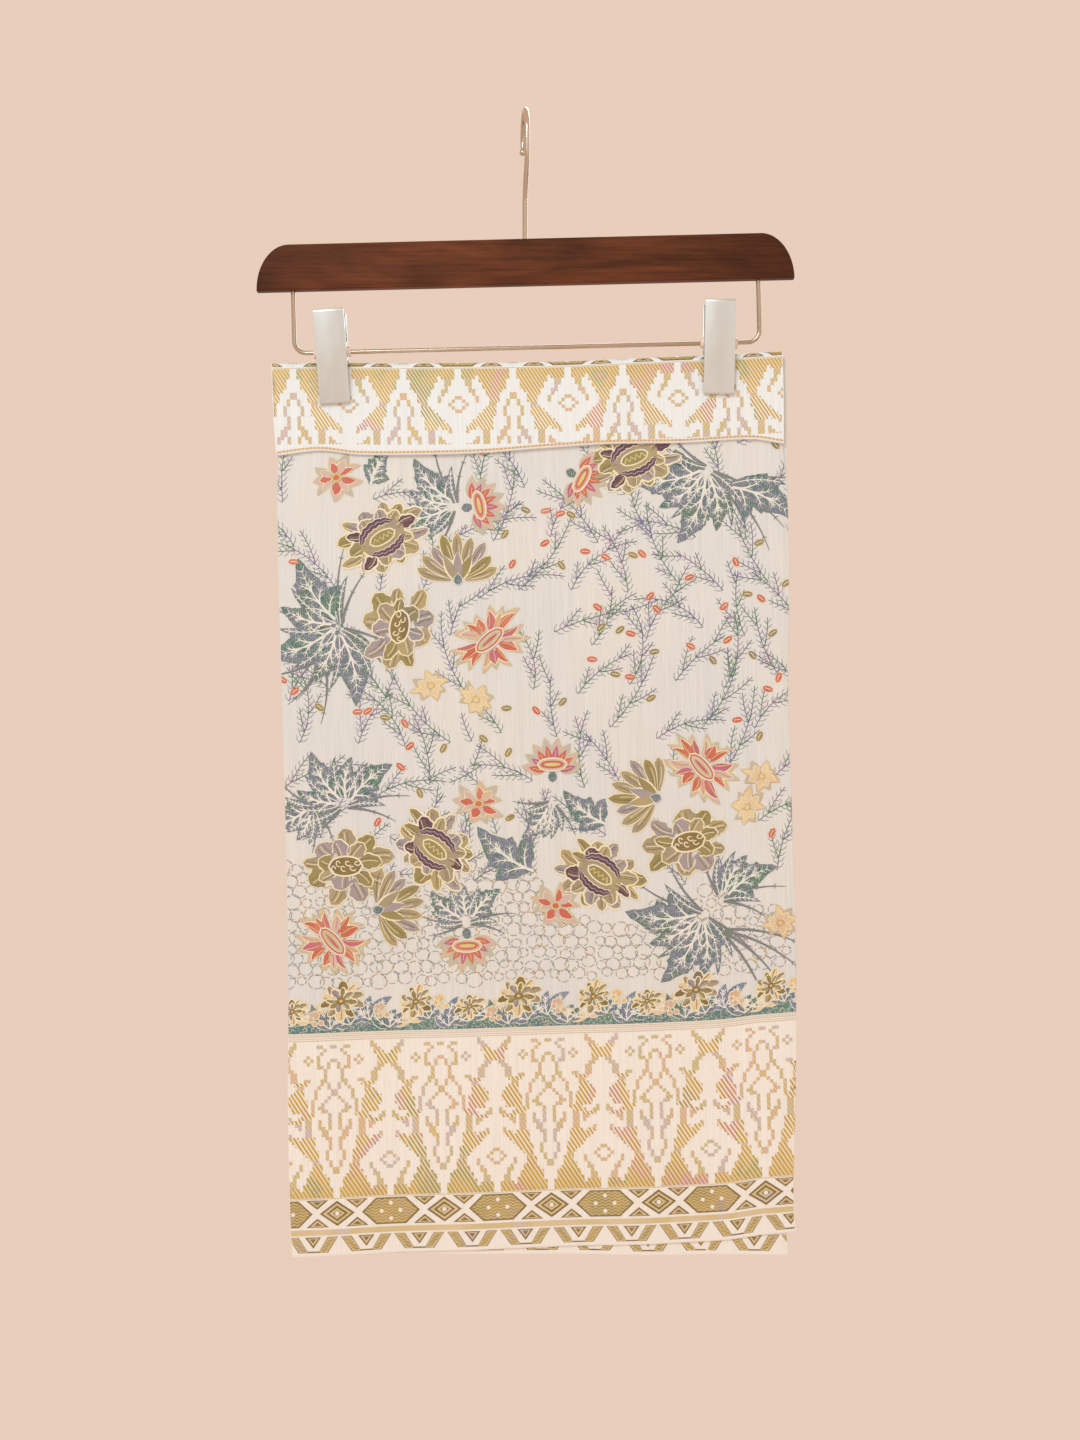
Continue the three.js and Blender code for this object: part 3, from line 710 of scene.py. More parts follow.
FLAP_CREASES = [
    (-117, -200, -104, -224, 4, 0.35), (-143, -206, -152, -224, 4, 0.3), (115, -200, 104, -222, 4, 0.3),
    (142, -204, 154, -222, 4, 0.35), (-60, -180, -40, -222, 9, 0.25), (20, -184, 36, -220, 8, -0.25),
]

top_edge = Curve(TOP_EDGE)


def front_depth(x, z):
    return FRONT_PANEL + fold_depth(x, z) - loosened(z) / 3 + creased(FRONT_CREASES, x, z)


def back_depth(x, z):
    return BACK_PANEL + fold_depth(x, z) + loosened(z) * 2 / 3 + PANEL_WALL - creased(BACK_CREASES, x, z)


def inner_depth(layer):
    """The front face of one of the hidden layers."""
    def depth(x, z):
        return INNER_FRONT + fold_depth(x, z) - loosened(z) / 3 + (INNER_WALL + loosened(z)) * layer / LAYERS
    return depth


# ---------------------------------------------------------------- the cloth's shells
def panel_shell(panel, wall, heights, shift=(0, 0), spacing=4.0):
    """A thin closed sheet with rounded sides and a thinned selvage, as points, faces and cloth places."""
    columns = round((SIDE_REACH * 2) / spacing)
    round_steps = 3
    radius = wall / 2
    away = -panel.facing
    points, places = [], []
    for b in heights:
        z_side = lerp(HEM_HEIGHT, top_edge(0), b / CLOTH_DEPTH)
        left, right = panel.left(z_side) + shift[0], panel.right(z_side) + shift[1]
        thin = 1.0 if b > 0 else 0.45
        face, behind = [], []
        for i in range(columns + 1):
            x = lerp(left + radius, right - radius, i / columns)
            z = panel.height(x, b)
            y = panel.depth_at(x, z)
            middle = y + away * radius
            face.append((x, middle - away * radius * thin, z))
            behind.append((x, middle + away * radius * thin, z))

        def turn(edge, inward):
            x_mid = edge + inward * radius
            z = panel.height(x_mid, b)
            middle = panel.depth_at(x_mid, z) + away * radius
            out = []
            for k in range(1, round_steps + 1):
                angle = math.pi * k / (round_steps + 1)
                x = x_mid - inward * radius * math.sin(angle)
                out.append((x, middle - away * radius * thin * math.cos(angle), z))
            return out

        row = face + turn(right, -1) + behind[::-1] + turn(left, 1)[::-1]
        points.extend(row)
        places.extend((p[0], b) for p in row)
    count = len(points) // len(heights)
    faces = skin(len(heights), count)
    last_behind = 2 * columns + 1 + round_steps
    for base, flip in ((0, False), ((len(heights) - 1) * count, True)):
        cap = [(i, i + 1, last_behind - i - 1, last_behind - i) for i in range(columns)]
        cap.append(tuple(range(columns, columns + round_steps + 2)))
        cap.append(tuple(i % count for i in range(last_behind, count + 1)))
        faces.extend(tuple(base + i for i in (face[::-1] if flip else face)) for face in cap)
    return points, faces, places


def panel_heights(top):
    step = 4.0
    rows = [0.0, 0.4, 1.5]
    while rows[-1] + step < top:
        rows.append(rows[-1] + step)
    return rows + [top]


FLAP_WALL = 0.95
FLAP_COLUMNS = 86
TUCKED_FACE = FLAP_FRONT + 2.4  # the face of the part that runs up again behind the waist
TUCK_TOP = 9  # from the top fold down to where that part ends


def flap_shell(flap):
    """The waist as one folded sheet: from its edge behind, over the top, down, and up again behind itself."""
    arc_steps, down_steps, fold_steps, up_steps = 14, 15, 8, 8
    over = [0.0, 0.4] + [flap.LAP * i / 10 for i in range(1, 8)]
    over += [flap.LAP - flap.arc + 2 * flap.arc * i / arc_steps for i in range(arc_steps + 1)]
    over = sorted(set(round(b, 4) for b in over))
    points, places = [], []
    for c in range(FLAP_COLUMNS + 1):
        share = c / FLAP_COLUMNS
        nominal = lerp(flap.left(FLAP_MIDDLE), flap.right(FLAP_MIDDLE), share)
        low = flap.lowest(nominal)
        outer = []
        for b in over + [lerp(over[-1], low, i / down_steps) for i in range(1, down_steps + 1)]:
            x, y, z = flap.lay(nominal, b)
            outer.append((y, z, b))
        front_y, fold_z = outer[-1][:2]
        centre_y, radius_y = (front_y + TUCKED_FACE) / 2, (TUCKED_FACE - front_y) / 2
        drop = fold_z - flap.hem(nominal)
        for k in range(1, fold_steps):
            angle = math.pi * k / fold_steps
            y = centre_y - radius_y * math.cos(angle)
            outer.append((y, fold_z - drop * math.sin(angle), low + k * 0.35))
        for i in range(up_steps + 1):
            z = lerp(fold_z, top_edge(nominal) - TUCK_TOP, i / up_steps)
            outer.append((TUCKED_FACE, z, low + 3 + (z - fold_z)))
        inner = []
        for k, (y, z, b) in enumerate(outer):
            before, after = outer[max(k - 1, 0)], outer[min(k + 1, len(outer) - 1)]
            dy, dz = after[0] - before[0], after[1] - before[1]
            length = math.hypot(dy, dz)
            inner.append((y - dz / length * FLAP_WALL, z + dy / length * FLAP_WALL, b))
        for y, z, b in outer + inner[::-1]:
            points.append((lerp(flap.left(z), flap.right(z), share), y, z))
            places.append((nominal, b))
    count = len(points) // (FLAP_COLUMNS + 1)
    faces = skin(FLAP_COLUMNS + 1, count)
    for base, flip in ((0, False), (FLAP_COLUMNS * count, True)):
        for k in range(count // 2 - 1):
            face = (base + k, base + k + 1, base + count - 2 - k, base + count - 1 - k)
            faces.append(face if flip else face[::-1])
    return points, faces, places


def cloth_piece(name, made, look, replaces):
    """A shell of cloth as a piece, its faces all turned outwards."""
    points, faces, places = made
    piece = make(name, points, faces, look, "brocade", [replaces], uvs=places, sharp=60)
    tidy = bmesh.new()
    tidy.from_mesh(piece.data)
    bmesh.ops.recalc_face_normals(tidy, faces=tidy.faces)
    tidy.to_mesh(piece.data)
    tidy.free()
    return piece


# ---------------------------------------------------------------- threads laid on the cloth
def spine(root, tip, bend=0.0, steps=6):
    """Places from root to tip, bowed sideways by bend times their distance."""
    dx, dy = tip[0] - root[0], tip[1] - root[1]
    places = []
    for i in range(steps + 1):
        t = i / steps
        bow = bend * 4 * t * (1 - t)
        places.append((root[0] + dx * t - dy * bow, root[1] + dy * t + dx * bow))
    return places


def towards(place, angle, reach):
    return (place[0] + reach * math.cos(angle), place[1] + reach * math.sin(angle))


def way(root, tip):
    return math.atan2(tip[1] - root[1], tip[0] - root[0])


def apart(root, tip):
    return math.hypot(tip[0] - root[0], tip[1] - root[1])


def on_oval(centre, a, b, tilt, angle):
    """The place at an angle round an oval."""
    x, y = a * math.cos(angle), b * math.sin(angle)
    return (
        centre[0] + x * math.cos(tilt) - y * math.sin(tilt),
        centre[1] + x * math.sin(tilt) + y * math.cos(tilt),
    )


def loop(centre, a, b, tilt, steps, start, end):
    """Places round an oval, from start to end as shares of the whole turn."""
    angles = [2 * math.pi * lerp(start, end, i / steps) for i in range(steps + 1)]
    return [on_oval(centre, a, b, tilt, angle) for angle in angles]


# Half widths along a patch, as shares of the widest, from root (0) to tip (1).
def pointed(t):
    return math.sin(math.pi * t ** 0.8) ** 0.85 if 0 < t < 1 else 0.0


def blunt(t):
    late = max(0.0, (t - 0.6) / 0.4)
    return (0.45 + 0.55 * min(t / 0.6, 1.0)) * math.sqrt(max(0.0, 1 - late * late))


def ruffled(t):
    late = max(0.0, (t - 0.55) / 0.45)
    return (0.45 + 0.55 * min(t / 0.55, 1.0)) * (1 - late ** 2.4) * (0.97 + 0.13 * math.sin(16 * t))


def serrated(t):
    return pointed(t) * (0.86 + 0.3 * ((t * 6.5) % 1.0))


def tapered(t):
    return 1 - 0.85 * t


def slim(t):
    return 1 - 0.4 * t


def even(t):
    return 1.0


def round_end(t):
    return math.sqrt(max(0.0, 1 - (2 * t - 1) ** 2))


HAIR, HAIRS = 0.085, 11  # how far each patch of a layer lies above the one before, and when that starts again


class Art:
    """Patches of coloured thread: for each thread, quads of places with the layer that each lies in.

    Mirrored art is drawn the other way round across the cloth, and then shifted along it.
    """

    def __init__(self, mirrored=False, shift=0.0):
        self.quads = {}
        self.patches = 0
        self.sign = -1 if mirrored else 1
        self.shift = shift

    def add(self, thread, layer, corners):
        moved = tuple((self.sign * u + self.shift, b) for u, b in corners)
        self.quads.setdefault(thread, []).append((layer, moved))

    def strip(self, thread, layer, rows):
        for lower, upper in zip(rows, rows[1:]):
            for k in range(len(lower) - 1):
                self.add(thread, layer, (lower[k], lower[k + 1], upper[k + 1], upper[k]))

    def patch(self, thread, layer, path, half, shape=even):
        """Thread along a path, half wide to each side at its widest."""
        rows, last = [], len(path) - 1
        for i, (x, y) in enumerate(path):
            before, after = path[max(i - 1, 0)], path[min(i + 1, last)]
            dx, dy = after[0] - before[0], after[1] - before[1]
            length = math.hypot(dx, dy) or 1.0
            w = half * shape(i / last)
            across = (-dy / length * w, dx / length * w)
            rows.append([(x + across[0], y + across[1]), (x - across[0], y - across[1])])
        self.patches += 1
        self.strip(thread, layer + HAIR * (self.patches % HAIRS), rows)

    def line(self, thread, layer, root, tip, half, shape=even, bend=0.0, steps=6):
        self.patch(thread, layer, spine(root, tip, bend, steps), half, shape)

    def block(self, thread, layer, u0, u1, b0, b1):
        self.strip(thread, layer, [[(u0, b0), (u1, b0)], [(u0, b1), (u1, b1)]])

    def band(self, thread, b0, b1):
        """A block across the whole cloth and a little beyond."""
        self.block(thread, 0, -SIDE_REACH - 4, SIDE_REACH + 4, b0, b1)

    def shape(self, thread, layer, corners):
        """A convex patch, as a fan of quads from its first corner."""
        for i in range(1, len(corners) - 1, 2):
            last = corners[min(i + 2, len(corners) - 1)]
            self.add(thread, layer, (corners[0], corners[i], corners[i + 1], last))

    def oval(self, thread, layer, centre, a, b, tilt=0.0, steps=8):
        root, tip = towards(centre, tilt + math.pi, a), towards(centre, tilt, a)
        self.patch(thread, layer, spine(root, tip, 0, steps), b, round_end)

    def turn(self, thread, layer, centre, a, b, half, tilt, steps, start, end):
        """Part of a ring, from start to end as shares of the whole turn."""
        self.patch(thread, layer, loop(centre, a, b, tilt, steps, start, end), half)


# ---------------------------------------------------------------- flowers and leaves
LEAF_LAYER, SPRIG_LAYER, RING_LAYER, FLOWER_LAYER = 2, 1, 0, 5


def leaf(art, root, tip, width, lobes=3, bend=0.08):
    """A lobed, toothed leaf with pale veins."""
    length, heading = apart(root, tip), way(root, tip)
    steps = 10
    rib = spine(root, tip, bend, steps)
    art.patch("vein", LEAF_LAYER - 1, rib, width * 0.28 + 0.7, pointed)
    art.patch("leaf", LEAF_LAYER, rib, width * 0.28, serrated)
    for i in range(lobes):
        share = 0.1 + 0.62 * i / lobes
        start = rib[round(share * steps)]
        for side in (1, -1):
            spread = side * math.radians(56 - 9 * i + 5 * math.sin(root[0] + i))
            reach = width * (0.64 - 0.13 * i) * (1 + 0.08 * math.sin(root[1] * 3 + i * side))
            reach = min(reach, length * 0.62)
            end = towards(start, heading + spread, reach)
            lobe = spine(start, end, -side * 0.12, 8)
            half = width * (0.21 - 0.02 * i)
            art.patch("vein", LEAF_LAYER - 1, lobe, half + 0.7, pointed)
            art.patch("leaf", LEAF_LAYER, lobe, half, serrated)
            art.patch("vein", LEAF_LAYER + 1, lobe[:7], 0.7, tapered)
            for k in (2, 4):
                for fork in (1, -1):
                    small = towards(lobe[k], way(lobe[k - 1], lobe[k + 1]) + fork * 0.75, width * 0.13)
                    art.line("vein", LEAF_LAYER + 1, lobe[k], small, 0.3, tapered, steps=2)
    art.patch("vein", LEAF_LAYER + 1, rib[:9], 0.95, tapered)
    for k in (6, 7, 8):
        for fork in (1, -1):
            small = towards(rib[k], heading + fork * 0.8, width * 0.16)
            art.line("vein", LEAF_LAYER + 1, rib[k], small, 0.35, tapered, steps=2)


def narrow_leaf(art, root, tip, half=2.6):
    path = spine(root, tip, 0.08, 8)
    art.patch("leaf", LEAF_LAYER, path, half, pointed)
    art.patch("vein", LEAF_LAYER + 1, path[:8], 0.32)
    for k in range(2, 7):
        for side in (1, -1):
            end = towards(path[k], way(path[k - 1], path[k + 1]) + side * 0.7, half * 0.85)
            art.line("vein", LEAF_LAYER + 1, path[k], end, 0.22, steps=1)


def spike(art, root, tip, half=1.15):
    path = spine(root, tip, 0.06, 10)
    art.patch("stem", LEAF_LAYER, path, half, tapered)
    for k in range(2, 10, 3):
        for side in (1, -1):
            end = towards(path[k], way(path[k - 1], path[k]) + side * 0.8, 2.6)
            art.line("stem", LEAF_LAYER, path[k], end, 0.4, tapered, steps=1)


NEEDLE, NEEDLE_PITCH = 5.8, 4.1


def sprig(art, path):
    """A thin stem along path with a pair of needles at each step, leaning to its tip."""
    pairs = len(path) - 1
    art.patch("sprig", SPRIG_LAYER, path, 0.26)
    for i in range(1, pairs + 1):
        heading = way(path[i - 1], path[i])
        reach = NEEDLE * (1 - 0.45 * i / pairs)
        for side in (1, -1):
            start = path[i - 1] if side > 0 else tuple(lerp(a, b, 0.3) for a, b in zip(path[i - 1], path[i]))
            end = towards(start, heading + side * 0.8, reach)
            art.line("sprig", SPRIG_LAYER, start, end, 0.21, slim, side * 0.14, 2)


def seed(art, centre, thread, tilt):
    art.oval("rim", SPRIG_LAYER, centre, 4.1, 2.4, tilt)
    art.oval(thread, SPRIG_LAYER + 1, centre, 3.6, 1.95, tilt)
    foot, head = towards(centre, tilt, -2.2), towards(centre, tilt, 2.2)
    art.line("rim", SPRIG_LAYER + 2, foot, head, 0.25, bend=0.05, steps=3)


def petals(art, layer, centre, size, tilt, inner, outer, count, fills, rim, shape, turn, veins, rims):
    """A ring of petals between two shares of the flower's oval, on a pale ground that shows between them."""
    a, b = size

    def at(angle, share):
        return on_oval(centre, a * share, b * share, tilt, angle)

    for k in range(count):
        angle = 2 * math.pi * (k + turn) / count
        wobble = 1 + 0.1 * math.sin(5.3 * k + centre[0]) + 0.05 * math.sin(2.9 * k + centre[1])
        root, tip = at(angle, inner), at(angle, outer * wobble)
        middle = (inner + outer) / 2
        half = apart(at(angle - math.pi / count, middle), at(angle + math.pi / count, middle)) / 2
        half *= 1.04 + 0.2 * math.sin(3.7 * k + centre[1])
        bend = 0.11 * math.sin(2.1 * k + 1)
        beyond = towards(tip, way(root, tip), rims * 1.2)
        art.patch(rim, layer, spine(root, beyond, bend, 12), half + rims * 0.6, shape)
        art.patch(fills[k % len(fills)], layer + 1, spine(root, tip, bend, 12), half - rims * 0.9, shape)
        for thread, offset, thick in veins:
            start = towards(root, way(root, tip) + math.pi / 2, offset * half * 0.5)
            end = towards(tip, way(root, tip) + math.pi / 2, offset * half * 0.55)
            line = spine(start, end, bend + 0.04, 7)
            art.patch(thread, layer + 2, line[1:7], thick)


def maroon_peony(art, centre, size, tilt):
    """Ruffled tan petals, two dark waving bands, and an oval heart with a zigzag of gold."""
    a, b = size
    layer = FLOWER_LAYER
    folds = [("cream", 0.45, 0.2), ("bark", -0.3, 0.22), ("bark", 0.1, 0.2)]
    outer, inner = ["tan", "olive", "tan", "lilac"], ["maroon", "tan", "lilac", "tan", "maroon", "olive"]
    petals(art, layer, centre, size, tilt, 0.4, 1.0, 12, outer, "cream", ruffled, 0.2, folds, 0.8)
    petals(art, layer + 3, centre, size, tilt, 0.34, 0.8, 10, inner, "cream", ruffled, 0, folds, 0.8)
    art.oval("cream", layer + 4, centre, a * 0.6, b * 0.52, tilt, 12)
    art.oval("tan", layer + 5, centre, a * 0.55, b * 0.46, tilt, 12)
    for start, end in ((0.1, 0.47), (0.6, 0.93)):
        for wide, thread, up in ((2.9, "cream", 6), (2.3, "maroon", 7), (0.32, "lilac", 8)):
            band = loop(centre, a * 0.5, b * 0.42, tilt, 22, start, end)
            band = [towards(p, way(centre, p), 0.5 * math.sin(1.9 * i)) for i, p in enumerate(band)]
            art.patch(thread, layer + up, band, wide, round_end if wide > 1 else even)
    art.oval("cream", layer + 7, centre, a * 0.34, b * 0.2, tilt, 10)
    art.oval("olive", layer + 8, centre, a * 0.3, b * 0.16, tilt, 10)
    zigzag = []
    for i in range(9):
        along = lerp(-0.24, 0.24, i / 8) * a
        aside = (0.06 if i % 2 else -0.06) * b
        zigzag.append(towards(towards(centre, tilt, along), tilt + math.pi / 2, aside))
    art.patch("straw", layer + 9, zigzag, 0.5)


def gold_peony(art, centre, size, tilt):
    """Long petals striped along their length, and a heart of curls and dots."""
    a, b = size
    layer = FLOWER_LAYER
    stripes = [("cream", 0.0, 0.22), ("bark", 0.55, 0.3), ("bark", -0.5, 0.26)]
    outer, inner = ["tan", "olive", "tan", "lilac"], ["olive", "tan", "lilac"]
    petals(art, layer, centre, size, tilt, 0.4, 1.0, 9, outer, "cream", ruffled, 0.3, stripes, 0.6)
    petals(art, layer + 3, centre, size, tilt, 0.2, 0.72, 7, inner, "cream", ruffled, 0.1, stripes[:2], 0.6)
    art.oval("cream", layer + 6, centre, a * 0.4, b * 0.3, tilt, 10)
    art.oval("bark", layer + 7, centre, a * 0.36, b * 0.25, tilt, 10)
    for i in range(6):
        spot = towards(centre, tilt, lerp(-0.27, 0.27, i / 5) * a)
        spot = towards(spot, tilt + math.pi / 2, 0.07 * b * (1 if i % 2 else -1))
        art.turn("cream", layer + 8, spot, 1.3, 1.9, 0.36, tilt + 0.3 * i, 10, 0.0, 0.8)


def fan(art, root, heading, reach, spread=1.25):
    """Long petals that open from a green cup."""
    layer = FLOWER_LAYER
    count = 9
    for k in range(count):
        turn = lerp(-spread, spread, k / (count - 1))
        long = reach * (1 - 0.16 * abs(turn) / spread + 0.05 * math.sin(4 * k))
        tip = towards(root, heading + turn, long)
        beyond = towards(tip, heading + turn, 0.7)
        start = towards(root, heading + turn, reach * 0.16)
        half = reach * spread / count * 0.82
        up = layer + (2 if k % 2 else 0)
        fill, bend = ("tan", "olive", "lilac", "tan")[k % 4], turn * 0.05
        art.line("cream", up, start, beyond, half + 0.35, blunt, bend, 8)
        art.line(fill, up + 1, start, tip, half - 0.35, blunt, bend, 8)
        art.patch("bark", up + 2, spine(start, tip, bend + 0.03, 7)[1:7], 0.3)
        art.patch("cream", up + 2, spine(start, tip, bend - 0.05, 7)[1:6], 0.2)
    for k, fill in enumerate(("olive", "lilac", "tan")):
        tip = towards(root, heading + (k - 1) * 0.5, reach * 0.62)
        art.line("cream", layer + 4, root, tip, reach * 0.13, pointed)
        art.line(fill, layer + 5, root, tip, reach * 0.09, pointed)
    for thread, up, low, high, half in (("vein", 6, -3, 5.5, 3.4), ("leaf", 7, -2.6, 5, 2.9)):
        foot, head = towards(root, heading, low), towards(root, heading, high)
        art.line(thread, layer + up, foot, head, half, pointed, steps=5)


def daisy(art, centre, size, tilt, count=15):
    """Pointed petals, pale outside and red within, round a slanting striped heart."""
    layer = FLOWER_LAYER
    outer, inner = ["blush", "haze", "blush"], ["coral", "blush", "pink", "coral"]
    veins = [("straw", 0.3, 0.25), ("coral", -0.4, 0.2)]
    petals(art, layer, centre, size, tilt, 0.24, 1.0, count, outer, "straw", pointed, 0.25, (), 0.45)
    petals(art, layer + 2, centre, size, tilt, 0.3, 0.84, count, inner, "cream", pointed, 0.25, veins, 0.5)
    heart = [
        (0.47, 0.24, "cream"), (0.43, 0.2, "pink"), (0.38, 0.15, "straw"), (0.33, 0.1, "haze"),
        (0.26, 0.045, "coral"),
    ]
    for up, (a_share, b_share, thread) in enumerate(heart):
        art.oval(thread, layer + 5 + up, centre, size[0] * a_share, size[1] * b_share, tilt, 12)


def side_daisy(art, root, heading, reach, count=8, spread=1.35):
    """A daisy seen from its side, opening from a small cup."""
    layer = FLOWER_LAYER
    for k in range(count):
        turn = lerp(-spread, spread, k / (count - 1))
        long = reach * (1 - 0.1 * abs(turn))
        tip = towards(root, heading + turn, long)
        start = towards(root, heading + turn, reach * 0.2)
        half = reach * 0.15
        art.line("straw", layer, start, towards(tip, heading + turn, 0.5), half + 0.5, pointed, steps=7)
        art.line("blush" if k % 2 else "haze", layer + 1, start, tip, half, pointed, steps=7)
        inner = towards(root, heading + turn, long * 0.78)
        art.line("coral" if k % 3 else "pink", layer + 2, start, inner, half * 0.62, pointed, steps=7)
        art.patch("straw", layer + 3, spine(start, inner, 0, 4)[1:4], 0.2)
    centre, across = towards(root, heading, reach * 0.22), heading + math.pi / 2
    heart = [(0.44, 0.2, "cream"), (0.4, 0.16, "blush"), (0.34, 0.11, "coral"), (0.24, 0.05, "straw")]
    for up, (a_share, b_share, thread) in enumerate(heart):
        art.oval(thread, layer + 4 + up, centre, reach * a_share, reach * b_share, across, 10)
    foot = towards(root, heading, -reach * 0.28)
    art.line("leaf", layer + 3, foot, towards(root, heading, 1.5), reach * 0.12, pointed, steps=5)


def small_flower(art, centre, reach, tilt, threads=("coral", "blush"), rim="straw", count=9):
    """Two rings of pointed petals round a dot."""
    layer, size = FLOWER_LAYER, (reach, reach * 0.82)
    outer, inner = [threads[1], "haze"], list(threads)
    petals(art, layer, centre, size, tilt, 0.15, 1.0, count, outer, rim, pointed, 0.2, (), 0.4)
    petals(art, layer + 2, centre, size, tilt, 0.2, 0.72, count, inner, "cream", pointed, 0.2, (), 0.35)
    art.oval(rim, layer + 5, centre, reach * 0.2, reach * 0.15, tilt, 6)
    art.oval(threads[0], layer + 6, centre, reach * 0.13, reach * 0.1, tilt, 6)


# ---------------------------------------------------------------- the flower field
# The layout, in steps of 10 mm and 10 degrees. A flower has its middle or root (u, b), and then its slant or
# heading. A spray has its root, heading, spread and reach, and how many leaves and bare spikes it opens into.
MAROON_PEONIES = [(-100, 480, 30), (-70, 270, -40), (40, 250, -40), (70, 530, 20)]
GOLD_PEONIES = [(-90, 420, 80), (-130, 260, 0), (100, 270, 10)]
FANS = [(-50, 450, 90), (-110, 230, 10), (80, 300, 160)]
DAISIES = [(-30, 410, 40), (-140, 210, -50), (110, 320, -50)]
SIDE_DAISIES = [(-40, 500, 10), (10, 320, 90), (-50, 210, -90), (30, 520, -30)]
SMALL_DAISIES = [(-130, 520, 20), (-40, 300, 0), (10, 230, -10)]
SAND_FLOWERS = [(-70, 380, 10), (-40, 370, -40), (150, 310, -30), (140, 290, 70), (160, 210, 0)]
SPRAYS = [
    (-130, 420, 200, 200, 50, 5, 4), (-140, 400, 230, 60, 40, 0, 3), (-110, 510, 60, 0, 30, 1, 0),
    (-50, 500, 160, 90, 40, 3, 1), (120, 520, 230, 120, 50, 4, 2), (130, 510, -30, 50, 50, 1, 4),
    (-130, 300, 100, 160, 40, 4, 2), (-150, 300, 220, 80, 30, 2, 2), (-50, 220, 90, 140, 30, 3, 2),
    (0, 250, 140, 0, 50, 1, 0), (10, 300, 240, 50, 30, 2, 0), (50, 280, 140, 0, 40, 1, 0),
    (110, 220, 220, 120, 50, 4, 1), (120, 230, 40, 60, 40, 2, 1), (120, 210, -40, 40, 60, 0, 4),
]
PEONY, DAISY = (30, 24), (26, 22)
FAN_REACH, SIDE_DAISY_REACH, SMALL_REACH, SAND_REACH = 33, 24, 18, 13
RINGS = dict(low=183, high=262, pitch=8.9)
SPRIG_LOW, SPRIG_HIGH = 245, 575
SPRIG_PITCH, SPRIG_ROW = 33, 33
TUCK = 9  # how far a sprig runs in under a flower


def spray(art, root, heading, spread, reach, leaves, spikes):
    """Leaves opened like a hand from one root, every other one short, with spikes and narrow leaves."""
    for i in range(leaves):
        turn = heading + spread * ((i + 0.5) / leaves - 0.5)
        long = reach * (0.78 if i % 2 else 1.0)
        leaf(art, towards(root, turn, 6), towards(root, turn, long * 1.08), long * 0.64)
        between = turn + spread * 0.5 / leaves
        narrow_leaf(art, towards(root, between, 5), towards(root, between, reach * 0.84), 3.2)
    for i in range(spikes):
        turn = heading + spread * (i / max(spikes - 1, 1) - 0.5) * 1.15
        spike(art, towards(root, turn, 3), towards(root, turn, reach * (1.12 - 0.1 * (i % 2))))
    if leaves > 1:
        for side in (1, -1):
            turn = heading + side * (spread / 2 + 0.35)
            narrow_leaf(art, towards(root, turn, 3), towards(root, turn, reach * 0.7))
            spike(art, towards(root, turn + side * 0.3, 3), towards(root, turn + side * 0.3, reach * 0.9))


def is_clear(place, taken, margin=0.0):
    return all(apart(place, centre) > radius + margin for centre, radius in taken)


def grown(start, heading, reach, curl, taken):
    """A stem that turns by curl at each pair of needles and stops where it slips under a flower."""
    path = [start]
    while len(path) * NEEDLE_PITCH < reach:
        after = towards(path[-1], heading + curl * len(path), NEEDLE_PITCH)
        if not is_clear(after, taken, -TUCK):
            break
        path.append(after)
    return path


def thicket(art, taken):
    """Long curling sprigs with side twigs, and seeds beside them, from a staggered net of roots."""
    draws = random.Random(11)
    for row in range(int((SPRIG_HIGH - SPRIG_LOW) / SPRIG_ROW)):
        for column in range(int(2 * SIDE_REACH / SPRIG_PITCH) + 1):
            u = -SIDE_REACH + (column + (row % 2) / 2) * SPRIG_PITCH + draws.uniform(-6, 6)
            b = SPRIG_LOW + row * SPRIG_ROW + draws.uniform(-6, 6)
            heading = math.radians(85) + 0.9 * math.sin(u / 47 + b / 39) + draws.uniform(-0.3, 0.3)
            curl = draws.uniform(0.03, 0.09) * (1 if (row + column) % 2 else -1)
            stem = grown((u, b), heading, draws.uniform(42, 66), curl, taken)
            paths = [stem]
            for k, side in ((2, 1), (5, -1), (9, 1)):
                reach = draws.uniform(15, 25)
                if k + 1 < len(stem):
                    aside = way(stem[k], stem[k + 1]) + side * 0.65
                    paths.append(grown(stem[k], aside, reach, -side * 0.06, taken))
            for path in paths:
                if len(path) > 2 and is_clear(path[0], taken, -TUCK):
                    sprig(art, path)
            for side, thread in ((1, "coral"), (-1, "olive")):
                spot = towards(stem[len(stem) // 2], heading + side * 1.5, draws.uniform(8, 12))
                if is_clear(spot, taken, 5) and draws.random() < 0.75:
                    seed(art, spot, thread, draws.uniform(-1.2, 1.2))


